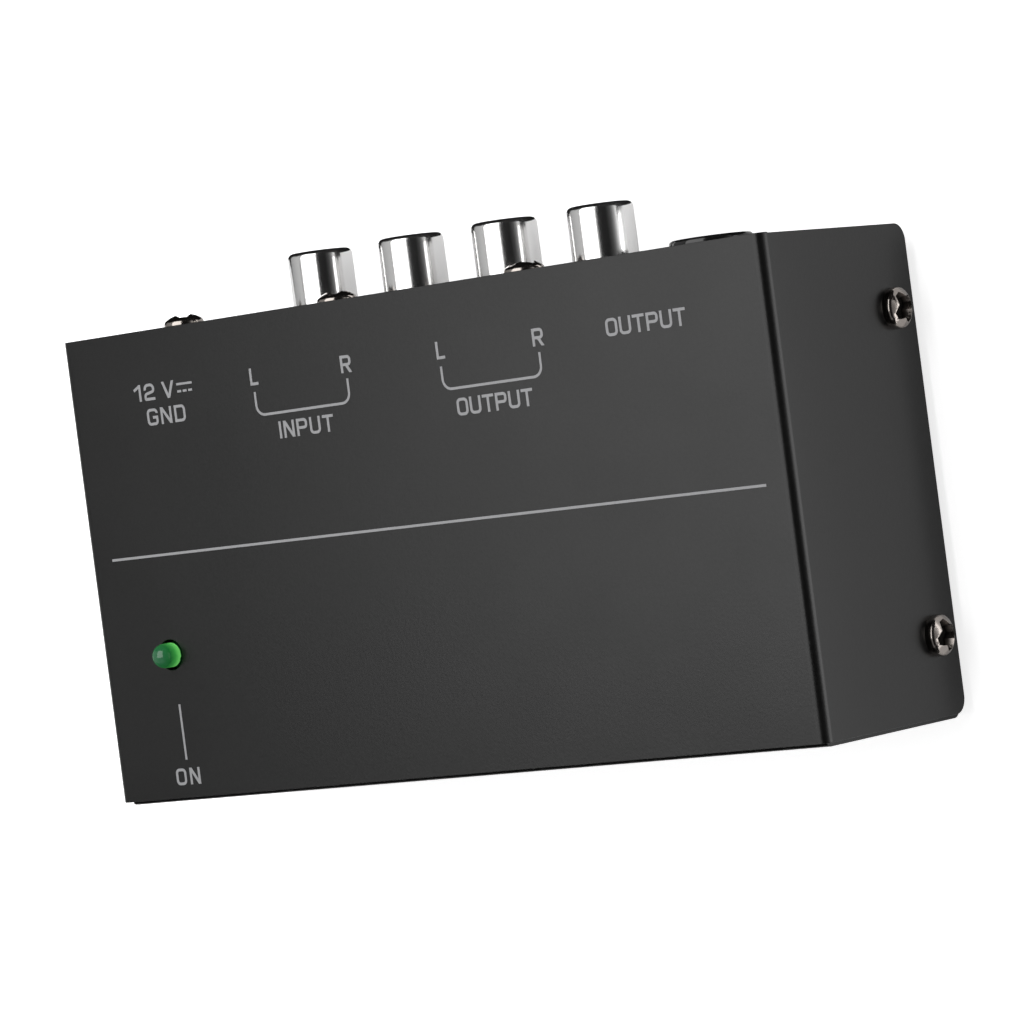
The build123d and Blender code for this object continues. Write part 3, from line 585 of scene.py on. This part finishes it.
def crown_height(radius):
    """Height above the bearing face of the crown, a sphere that has the head's height at crown_top.

    The sphere's height over its centre is the root of its radius squared less the given radius
    squared. The head's height is added to it, and its value at crown_top is taken away.
    """
    top = math.sqrt(crown_radius ** 2 - crown_top ** 2)
    return head_height + np.sqrt(crown_radius ** 2 - radius ** 2) - top


def dome_profile():
    """Head from its axis to its bearing face: a domed crown, a round shoulder, a straight rim."""
    radius = np.linspace(0, crown_reach, 8)
    height = crown_height(radius)
    slope = crown_reach / math.sqrt(crown_radius ** 2 - crown_reach ** 2)
    corner = height[-1] - slope * (head_radius - crown_reach)
    shoulder = rounded([(crown_reach, height[-1]), (head_radius, corner), (head_radius, 0)],
                       [0, shoulder_round, 0], 12, closed=False)
    return np.concatenate([np.stack([radius, height], axis=1), shoulder[1:]])


def cross_cutter():
    """Tapered cross that makes the recess, from a little above the head to the recess's bottom."""
    half, waist = recess_span / 2, recess_waist / 2
    neck, bend, tip = waist * cross_neck, half * cross_bend, waist * cross_tip
    arm = np.array([(neck, -neck), (bend, -waist), (half, -tip), (half, tip), (bend, waist)])
    turns = [(math.cos(turn), math.sin(turn)) for turn in np.arange(4) * TAU / 4]
    cross = np.concatenate([arm @ np.array([[c, s], [-s, c]]) for c, s in turns])
    above = 0.3
    return prism("cross", cross, (0, 0, head_height + above), DOWN, recess_depth + above,
                 up=BACK, far_scale=recess_taper)


def pan_screw(length, thread_start):
    """One screw along +Z: a domed head with a cross recess, and a threaded shank.

    The thread's radius is the shank's less the thread's depth times a triangle wave of the depth in
    pitches minus the turn in circles. The wave fades over one pitch at either end of the thread.
    """
    neck = [(shank_radius, 0), (shank_radius, -thread_start), (0, -thread_start)]
    head = turned("head", np.concatenate([dome_profile(), neck]), (0, 0, 0), UP)
    combine(head, [cross_cutter()])
    soften(head, recess_edge, angle=30)
    around, per_turn = 36, 8
    steps = int((length - thread_start) / thread_pitch) * per_turn
    angle, level = np.meshgrid(np.arange(around) * TAU / around, np.arange(steps + 1))
    depth = level * thread_pitch / per_turn
    wave = np.abs((depth / thread_pitch - angle / TAU) % 1 - 0.5) * 2
    fade = np.clip(np.minimum(depth, depth[-1, 0] - depth) / thread_pitch, 0, 1)
    radius = shank_radius - thread_depth * wave * fade
    points = np.stack([radius * np.cos(angle), radius * np.sin(angle), -thread_start - depth],
                      axis=-1)
    ends = [list(range(steps * around, (steps + 1) * around)), list(range(around))]
    thread = make_piece("thread", points.reshape(-1, 3),
                        grid_faces(steps + 1, around, False, True) + ends)
    return gather("screw", [head, thread])


def mark_painted_recess_shade(piece, base, copies):
    """Gives the points that lie in the recess 1 in the attribute "recess", and the others 0: the 1s
    take painted shade.

    A point of the screw counts when it is within half the recess's span of the axis, above the
    shade's level, and further under the crown than the shade's depth.
    """
    reach, height = np.hypot(base[:, 0], base[:, 1]), base[:, 2]
    under = height < crown_height(np.minimum(reach, shade_reach)) - shade_depth
    deep = (reach < recess_span / 2) & (height > shade_level) & under
    shade = piece.data.attributes.new("recess", "FLOAT", "POINT")
    shade.data.foreach_set("value", np.tile(deep.astype(np.float32), copies))


def screws(name, places, length, nodes, thread_start=0.8, body="case"):
    """The same screw set at each place, given as its origin, direction and turn in degrees."""
    base, shape = taken(pan_screw(length, thread_start))
    points, faces = [], []
    for k, (origin, direction, turn) in enumerate(places):
        c, s = math.cos(math.radians(turn)), math.sin(math.radians(turn))
        spin = np.array([[c, -s, 0], [s, c, 0], [0, 0, 1]])
        points.append(base @ (axes_of(direction) @ spin).T + origin)
        faces += [(face + k * len(base)).tolist() for face in shape]
    piece = make_piece(name, np.concatenate(points), faces, finishes["black_nickel"], crease=45)
    # marks where the recess takes painted shade
    mark_painted_recess_shade(piece, base, len(places))
    return settle(piece, nodes, body)


low_y, high_y = side_screw_y
side_turns = ((1, high_y, 32), (1, low_y, 20), (-1, high_y, 55), (-1, low_y, 8))
screws("side_screws", [((side * case_half, y, side_screw_z), (side, 0, 0), turn)
                       for side, y, turn in side_turns], side_length, ["cover_screws"])
screws("block_screws", [((pair_x["input"], panel_y, block_screw_z), BACK, 24),
                        ((pair_x["output"], panel_y, block_screw_z), BACK, 68)],
       rear_length, ["jack_screws"])
screws("terminal_screw", [((ground_x, panel_y, ground_z), BACK, 40)], rear_length,
       ["ground_screw"], thread_start=0.1, body="ground_screw")

# ---- RCA shells: rolled sheet with a curled rim and a stepped seam underneath ----
shell_radius = 4.0
shell_wall = 0.4
neck_radius = 3.8                # outside, where the shell passes through the panel
neck_round = 0.1
shoulder_y = panel_y + 0.1
shoulder_length = 0.15
shell_seat = 2.6                 # how far it reaches in behind the panel
curl_radius = 0.7                # of the curl's outside
seam_angle = math.radians(250)
seam_gap = 0.3
seam_step = 0.5
seam_turn = rim_y - 1.8          # where the seam steps sideways
seam_turn_half = 0.08
flange_lap = 0.05                # by which the flange reaches into the neck
tail_width, tail_thickness = 1.2, 0.4
tail_gap = 0.1
shell_steps, curl_steps, lip_steps = 120, 10, 9


def shell(place):
    """Rolled shell: the section of its wall, carried round the axis from side to side of the seam.

    The inner line follows the outer one a wall's thickness inside: straight at the bore, and round
    the curl's centre in the ratio of the two radii. A half circle closes the lip. The angle of each
    section point is shifted by half the seam's step over the radius, one way in front of the turn
    and the other way behind it, less and less away from the seam: by the eighth power of the cosine
    of half the angle.
    """
    x = jack_x[place]
    bore = shell_radius - shell_wall
    rear = inner_y - shell_seat
    outer = rounded([(rear, neck_radius), (shoulder_y, neck_radius),
                     (shoulder_y + shoulder_length, shell_radius),
                     (seam_turn - seam_turn_half, shell_radius),
                     (seam_turn + seam_turn_half, shell_radius), (rim_y, shell_radius),
                     (rim_y, shell_radius - curl_radius)],
                    [0, 0, neck_round, 0, 0, curl_radius, 0], curl_steps, closed=False)[:-1]
    centre = np.array([rim_y - curl_radius, shell_radius - curl_radius])
    inner = np.where(outer[:, :1] > centre[0] - 1e-6,
                     centre + (outer - centre) * (1 - shell_wall / curl_radius),
                     np.stack([outer[:, 0], np.full(len(outer), bore)], axis=1))
    swing = np.linspace(0, math.pi, lip_steps)[1:-1]
    lip = shell_wall / 2 * np.stack([np.cos(swing), -np.sin(swing)], axis=1)
    section = np.concatenate([outer, (outer[-1] + inner[-1]) / 2 + lip, inner[::-1]])
    half_gap = seam_gap / 2 / shell_radius
    angle = np.linspace(half_gap, TAU - half_gap, shell_steps)
    shift = np.where(section[:, 0] < seam_turn, -0.5, 0.5) * seam_step / shell_radius
    around = seam_angle + angle[:, None] + np.cos(angle[:, None] / 2) ** 8 * shift[None]
    points = np.stack([x + section[:, 1] * np.cos(around),
                       np.broadcast_to(section[:, 0], around.shape),
                       jack_z + section[:, 1] * np.sin(around)], axis=-1)
    count = len(section)
    faces = grid_faces(len(angle), count, False, True)
    pairs = len(outer) - 1
    for start in (0, (len(angle) - 1) * count):
        end = start + count - 1
        faces += [[start + k, start + k + 1, end - k - 1, end - k] for k in range(pairs)]
        faces.append(list(range(start + pairs, start + count - pairs)))
    name = f"{place}_rolled_shell"
    roll = make_piece(name, points.reshape(-1, 3), faces, finishes["shell_plating"], crease=35)
    inside, front = neck_radius - flange_lap, inner_y - shell_wall
    flange = turned("flange", [(inside, front), (shell_flange_radius, front),
                               (shell_flange_radius, inner_y), (inside, inner_y)],
                    (x, 0, jack_z), BACK, closed_profile=True)
    tail = box((x - tail_width / 2, rear - tail_thickness, pin_z),
               (x + tail_width / 2, rear, jack_z - bore - tail_gap))
    whole = gather(name, [roll, flange, tail], finishes["shell_plating"])
    return settle(whole, [f"{place}_shell"])


for place in jack_x:
    shell(place)

# ---- 6.35 mm jack: moulded body with a glossy nose ----
nose_y = body_high[1]
nose_radius = 4.95
nose_round = 0.45
nose_lap = 0.5                   # by which the nose reaches into the body
bore_radius = 3.2
bore_lap = 0.2
mouth = ((0, -0.35), (0.1, -0.12), (0.45, 0.1))    # steps outwards and along at the bore's end
windows = ((-1, 6.0), (-1, 14.0), (1, 21.5))       # side, and depth of the leaf's crown
window_inward, window_outward = 6.3, 2.1           # reach from the crown along the bore
window_half = 2.5
body_round, body_top_round, body_edge = 0.2, 0.8, 0.08


def line_jack():
    """Moulded body with a rounded top, its nose turned round the bore, a window for each leaf."""
    half = (body_high[0] - body_low[0]) / 2
    outline = rounded([(-half, body_low[2]), (half, body_low[2]), (half, body_high[2]),
                       (-half, body_high[2])],
                      [body_round, body_round, body_top_round, body_top_round])
    piece = prism("line_jack_body", outline, (big_jack_x, inner_y, 0), FRONT,
                  inner_y - body_low[1], finishes["nose_plastic"])
    axis = (big_jack_x, 0, jack_z)
    inside, rear = bore_radius - bore_lap, inner_y - nose_lap
    rim = rounded([(inside, rear), (nose_radius, rear), (nose_radius, nose_y), (inside, nose_y)],
                  [0, 0, nose_round, 0], 8)
    combine(piece, [turned("nose", rim, axis, BACK, closed_profile=True, around=96)], "UNION")
    flare = [(bore_radius + out, nose_y + along) for out, along in mouth]
    bore = [(0, body_low[1] - 1), (bore_radius, body_low[1] - 1)] + flare + [(0, flare[-1][1])]
    cutters = [turned("bore", bore, axis, BACK, around=96)]
    for side, crown in windows:
        edge = sorted((big_jack_x, big_jack_x + side * (half + 1)))
        cutters.append(box((edge[0], inner_y - crown - window_inward, jack_z - window_half),
                           (edge[1], inner_y - crown + window_outward, jack_z + window_half)))
    combine(piece, cutters)
    return settle(soften(piece, body_edge), ["output_jack_housing"])


line_jack()

# ---- indicator lamp ----
lens_radius = 1.5
collar_radius = 1.8
collar_height = 1.0
collar_round = 0.1


def lamp():
    """Lens turned from its collar, a straight body and a hemispherical dome."""
    rise = np.linspace(0, TAU / 4, 16)
    springing = lens_high[2] - lens_radius
    dome = np.stack([lens_radius * np.cos(rise), springing + lens_radius * np.sin(rise)], axis=1)
    foot_z = lens_low[2]
    collar = rounded([(0, foot_z), (collar_radius, foot_z), (collar_radius, foot_z + collar_height),
                      (lens_radius, foot_z + collar_height)], [0, collar_round, collar_round, 0],
                     4, closed=False)
    piece = turned("lamp_dome", np.concatenate([collar, dome]), (lamp_x, lamp_y, 0), UP,
                   finishes["green_lens"], around=64)
    return settle(piece, ["lamp_lens"])


lamp()

# ---- rubber feet ----
foot_taper = 0.4                 # the radius is this much less at the floor
foot_round = 0.6
foot_top_round = 0.05


def foot(node):
    """Tapered foot with a rounded lower edge, turned round its axis."""
    low, high = node_box(node)
    x, y = (low[:2] + high[:2]) / 2
    base = (high[0] - low[0]) / 2
    profile = rounded([(0, 0), (base - foot_taper, 0), (base, high[2]), (0, high[2])],
                      [0, foot_round, foot_top_round, 0], 6)
    piece = turned(f"{node}_rubber", profile, (x, y, 0), UP, finishes["rubber"], around=64)
    return settle(piece, [node])


for node in [name for name in frame["nodes"] if name.startswith("foot_")]:
    foot(node)

# ---- printed legends on the top: thin raised ink ----
ink_rise = 0.015
ink_root = 0.002                 # how far it reaches into the top
stroke_drop = 0.001              # by which each further stroke of a letter lies lower
letter_high = 2.07
letter_wide = 1.65
letter_line = 0.34
mark_line = 0.31
sign_line = 0.28
arc = 0.42                       # letters' rounded corners, to the middle of the line


def ribbon(path, width, closed=False, drop=0.0, flat_ends=False):
    """Band of ink along a path.

    Each point's two sides stand off by half the width along the mitre of its two runs. With flat
    ends they stand off sideways instead, by half the width over the run's share along the rows.
    """
    path = np.asarray(path, float)
    run = np.roll(path, -1, axis=0) - path if closed else np.diff(path, axis=0)
    run = run / np.linalg.norm(run, axis=1)[:, None]
    ahead = run if closed else np.concatenate([run, run[-1:]])
    back = np.roll(run, 1, axis=0) if closed else np.concatenate([run[:1], run])
    square = np.stack([-ahead[:, 1], ahead[:, 0]], axis=1)
    square_back = np.stack([-back[:, 1], back[:, 0]], axis=1)
    mitre = (square + square_back) / (1 + np.sum(square * square_back, axis=1))[:, None]
    if flat_ends:
        mitre = np.stack([1 / square[:, 0], np.zeros(len(path))], axis=1)
    left, right = path + mitre * width / 2, path - mitre * width / 2
    low = np.full((len(path), 1), top_z - ink_root)
    high = np.full((len(path), 1), top_z + ink_rise - drop)
    points = np.stack([np.hstack(pair) for pair in ((right, low), (right, high), (left, high),
                                                    (left, low))], axis=1)
    last = 4 * (len(path) - 1)
    caps = [] if closed else [[0, 1, 2, 3], [last, last + 1, last + 2, last + 3]]
    return make_piece("ink", points.reshape(-1, 3), grid_faces(len(path), 4, closed, True) + caps)


def letter_strokes(letter, wide):
    """Strokes of a letter in a box of this width.

    Each is the corners of the line's middle, their radii, whether it is closed, and the sideways
    width of a slanting line, which ends flat, or else 0. The lines' middles run left, right, at the
    bottom, at the top and halfway: l, r, b, t and m. The letter's height is h.
    """
    half = letter_line / 2
    l, r, b, t, m = half, wide - half, half, letter_high - half, letter_high * 0.47
    h = letter_high
    slant = letter_line * 1.06
    small = arc * 0.8
    inner = wide * 0.52          # where the bar of the G and the leg of the R begin
    stem = ([(l, 0), (l, h)], 0, False, 0)
    bowl = ([(l, 0), (l, t), (r, t), (r, m), (l + half - 0.01, m)], [0, 0, small, small, 0],
            False, 0)
    return {
        "I": [stem],
        "L": [([(l, h), (l, b), (wide, b)], 0, False, 0)],
        "T": [([(0, t), (wide, t)], 0, False, 0), ([(wide / 2, t), (wide / 2, 0)], 0, False, 0)],
        "U": [([(l, h), (l, b), (r, b), (r, h)], arc, False, 0)],
        "O": [([(l, b), (r, b), (r, t), (l, t)], arc, True, 0)],
        "D": [([(l, b), (r, b), (r, t), (l, t)], [0, arc, arc, 0], True, 0)],
        "G": [([(r, t - arc - 0.02), (r, t), (l, t), (l, b), (r, b), (r, m), (inner, m)],
               [0, arc, arc, arc, small, 0, 0], False, 0)],
        "P": [bowl],
        "R": [bowl, ([(inner, m), (r, 0)], 0, False, slant)],
        "N": [stem, ([(r, 0), (r, h)], 0, False, 0), ([(l, h), (r, 0)], 0, False, slant)],
        "V": [([(half, h), (wide / 2, 0)], 0, False, slant),
              ([(wide - half, h), (wide / 2, 0)], 0, False, slant)],
        "1": [([(r, 0), (r, h)], 0, False, 0), ([(0.1, t - 0.5), (r, t)], 0, False, 0)],
        "2": [([(l, t - 0.6), (l, t), (r, t), (r, m + 0.1), (l, b + 0.62), (l, b), (wide, b)],
               [0, 0.5, 0.5, 0.35, 0.35, 0.1, 0], False, 0)],
    }[letter]


def word(text, low_x, high_x, low_y, widths):
    """Letters side by side from one column to the other, with even gaps, standing on a row."""
    widths = widths or [letter_line if letter == "I" else letter_wide for letter in text]
    gap = (high_x - low_x - sum(widths)) / max(len(text) - 1, 1)
    pieces, x = [], low_x
    for letter, wide in zip(text, widths):
        for k, (corners, radii, closed, slant) in enumerate(letter_strokes(letter, wide)):
            path = rounded(corners, radii, 6, closed) + np.array([x, low_y])
            pieces.append(ribbon(path, slant or letter_line, closed, stroke_drop * k, slant > 0))
        x += wide + gap
    return pieces


# columns in the case's frame, and rows behind the case's middle
# word, its first and last column, the row of its foot, and the letters' widths where they differ
words = (
    ("1", -41.75, -40.55, 20.45, [1.2]), ("2", -40.05, -38.35, 20.45, [1.7]),
    ("V", -37.15, -35.2, 20.43, [1.95]), ("GND", -40.05, -33.9, 17.36, [1.75, 1.75, 1.75]),
    ("INPUT", -19.65, -11.25, 13.62, None), ("OUTPUT", 7.3, 18.4, 13.36, None),
    ("OUTPUT", 29.85, 41.0, 19.98, None), ("ON", -42.95, -39.1, -26.95, None),
    ("L", -23.15, -21.9, 20.42, [1.25]), ("R", -9.1, -7.5, 20.3, [1.6]),
    ("L", 5.3, 6.55, 20.25, [1.25]), ("R", 19.35, 20.95, 20.1, [1.6]),
)
# left and right column, and the rows of the ends and of the bar
brackets = ((-22.68, -8.34, 19.6, 16.75), (5.74, 20.11, 19.38, 16.63))
bracket_corner = 1.2
# width, start and end: the long rule, the lamp's line, and the sign for direct current
rules = (
    (mark_line, (-48.7, 1.53), (48.87, 0.94)), (mark_line, (-40.96, -17.0), (-40.96, -23.85)),
    (sign_line, (-34.76, 21.93), (-32.3, 21.9)), (sign_line, (-34.74, 21.04), (-34.12, 21.04)),
    (sign_line, (-33.87, 21.04), (-33.25, 21.04)), (sign_line, (-33.0, 21.04), (-32.38, 21.04)),
)


def legends():
    """Words, brackets and lines that say what each connector and the lamp are for."""
    pieces = []
    for text, low_x, high_x, row, widths in words:
        pieces += word(text, low_x, high_x, middle_y + row, widths)
    for left, right, ends, bar in brackets:
        corners = [(left, ends), (left, bar), (right, bar), (right, ends)]
        path = rounded(np.array(corners) + [0, middle_y], bracket_corner, 8, False)
        pieces.append(ribbon(path, mark_line))
    for width, start, end in rules:
        pieces.append(ribbon(np.array([start, end]) + [0, middle_y], width))
    return settle(gather("legend_print", pieces, legend_ink))


legends()

# ---- floor, light and camera ----
floor_half = 4000
card_half = 900
white = (1, 1, 1, 1)
floor_grey = (0.82, 0.82, 0.82, 1)
floor_glow = 0.75                # as the camera sees it
floor_glow_in_gloss = 0.12
surround_level, surround_glow = 1.0, 0.3           # for the camera, and as light
soft_box_size, soft_box_power, soft_box_place = (0.432, 0.6), 1.98, (-0.087, 0.225, 0.42)
camera_place = np.array([0.3550105, 0.0036841, 0.4941137])
camera_target = np.array([0.0132542, -0.0020520, 0.0322])
camera_roll = math.radians(98.2295)
camera_lens = 173.724


def of_rays(nodes, links, *kinds):
    """1 for these kinds of ray, 0 for the others."""
    rays = nodes.new("ShaderNodeLightPath")
    total = rays.outputs[kinds[0]]
    for kind in kinds[1:]:
        most = nodes.new("ShaderNodeMath")
        most.operation = "MAXIMUM"
        links.new(total, most.inputs[0])
        links.new(rays.outputs[kind], most.inputs[1])
        total = most.outputs[0]
    return total


def blend(nodes, links, source, low, high):
    """Low where the source is 0 and high where it is 1; either may be a number or a socket."""
    span = nodes.new("ShaderNodeMix")
    for name, value in (("A", low), ("B", high)):
        if isinstance(value, float):
            span.inputs[name].default_value = value
        else:
            links.new(value, span.inputs[name])
    links.new(source, span.inputs["Factor"])
    return span.outputs["Result"]


def card(name, rows, stops, along="Z", crosswise=False):
    """Sheet along rows of (x, z), or when crosswise of (y, z), that only gloss sees.

    Its glow follows stops of (distance, strength) along one axis, straight from each to the next.
    """
    rows = np.asarray(rows, float)
    edge = np.broadcast_to([-card_half, card_half], (len(rows), 2))
    out, up = np.repeat(rows[:, :1], 2, axis=1), np.repeat(rows[:, 1:], 2, axis=1)
    points = np.stack([edge, out, up] if crosswise else [out, edge, up], axis=-1)
    piece = make_piece(name, points.reshape(-1, 3), grid_faces(len(rows), 2), closed=False)
    material, nodes, links, principled = shader(name, Roughness=1.0)
    principled.inputs["Base Color"].default_value = (0, 0, 0, 1)
    principled.inputs["Specular IOR Level"].default_value = 0
    principled.inputs["Emission Color"].default_value = white
    place = nodes.new("ShaderNodeTexCoord")
    parts = nodes.new("ShaderNodeSeparateXYZ")
    links.new(place.outputs["Object"], parts.inputs["Vector"])
    level = None
    for (near, low), (far, high) in zip(stops, stops[1:]):
        start = low if level else 0
        rise = carried(nodes, links, parts.outputs[along], near * MM, far * MM, low - start,
                       high - start)
        if level:
            total = nodes.new("ShaderNodeMath")
            links.new(level, total.inputs[0])
            links.new(rise, total.inputs[1])
            rise = total.outputs["Value"]
        level = rise
    links.new(level, principled.inputs["Emission Strength"])
    piece.data.materials.append(material)
    piece.visible_camera = piece.visible_shadow = False
    piece.visible_diffuse = piece.visible_transmission = False


def cards():
    """Cards arched over the right and left, flat on the right, and rising behind and in front."""
    rises = [math.radians(rise) for rise in range(0, 70, 2)]
    arch = [(card_half * math.cos(rise), 1 + card_half * math.sin(rise)) for rise in rises]
    card("side_card", arch, ((0, 1.0), (110, 0.42), (230, 0.16), (340, 0.06), (540, 0.012)))
    card("low_card", [(56, 0.6), (900, 0.9)],
         ((56, 0.72), (78, 0.8), (95, 3.0), (220, 3.0), (400, 1.5), (900, 1.2)), "X")
    card("far_card", [(-x, z) for x, z in arch[:24]], ((0, 0.32), (300, 0.42), (640, 0.5)))
    card("back_card", [(36, 0.8), (420, 0.8), (500, 80), (500, 420)],
         ((0, 0.012), (400, 0.02)), crosswise=True)
    card("front_card", [(-60, 0.8), (-420, 0.8), (-500, 80), (-500, 300)],
         ((0, 0.012), (300, 0.02)), crosswise=True)


def surround():
    """Pale floor that keeps the object's shadow, and a white world."""
    far = floor_half
    floor = make_piece("floor", [(-far, -far, 0), (far, -far, 0), (far, far, 0), (-far, far, 0)],
                       [[0, 1, 2, 3]], closed=False)
    material, nodes, links, principled = shader("floor", Roughness=1.0)
    principled.inputs["Base Color"].default_value = floor_grey
    principled.inputs["Emission Color"].default_value = white
    mirrored = of_rays(nodes, links, "Is Glossy Ray", "Is Transmission Ray")
    unseen = blend(nodes, links, mirrored, 0.0, floor_glow_in_gloss)
    glow = blend(nodes, links, of_rays(nodes, links, "Is Camera Ray"), unseen, floor_glow)
    links.new(glow, principled.inputs["Emission Strength"])
    floor.data.materials.append(material)

    world = bpy.data.worlds.new("surround")
    bpy.context.scene.world = world
    world.use_nodes = True
    nodes, links = world.node_tree.nodes, world.node_tree.links
    nodes["Background"].inputs["Color"].default_value = white
    shown = of_rays(nodes, links, "Is Camera Ray", "Is Transmission Ray")
    links.new(blend(nodes, links, shown, surround_glow, surround_level),
              nodes["Background"].inputs["Strength"])


def overhead():
    """Soft box above and behind the object, facing down."""
    soft_box = bpy.data.lights.new("soft_box", "AREA")
    soft_box.shape = "RECTANGLE"
    (soft_box.size, soft_box.size_y), soft_box.energy = soft_box_size, soft_box_power
    light = bpy.data.objects.new("soft_box", soft_box)
    bpy.context.scene.collection.objects.link(light)
    light.matrix_world = Matrix.Translation(soft_box_place)


def camera():
    """Camera at its place, looking at its target and rolled about its axis."""
    back = (camera_place - camera_target) / np.linalg.norm(camera_place - camera_target)
    c, s = math.cos(camera_roll), math.sin(camera_roll)
    turn = np.array([[c, s, 0], [-s, c, 0], [0, 0, 1]])
    data = bpy.data.cameras.new("camera")
    data.sensor_width = 36
    data.lens = camera_lens
    data.clip_start, data.clip_end = 0.01, 50
    item = bpy.data.objects.new("camera", data)
    bpy.context.scene.collection.objects.link(item)
    facing = Matrix((axes_of(back) @ turn).tolist()).to_4x4()
    item.matrix_world = Matrix.Translation(camera_place.tolist()) @ facing
    bpy.context.scene.camera = item


surround()
cards()
overhead()
camera()
bpy.context.scene.view_settings.view_transform = "Standard"
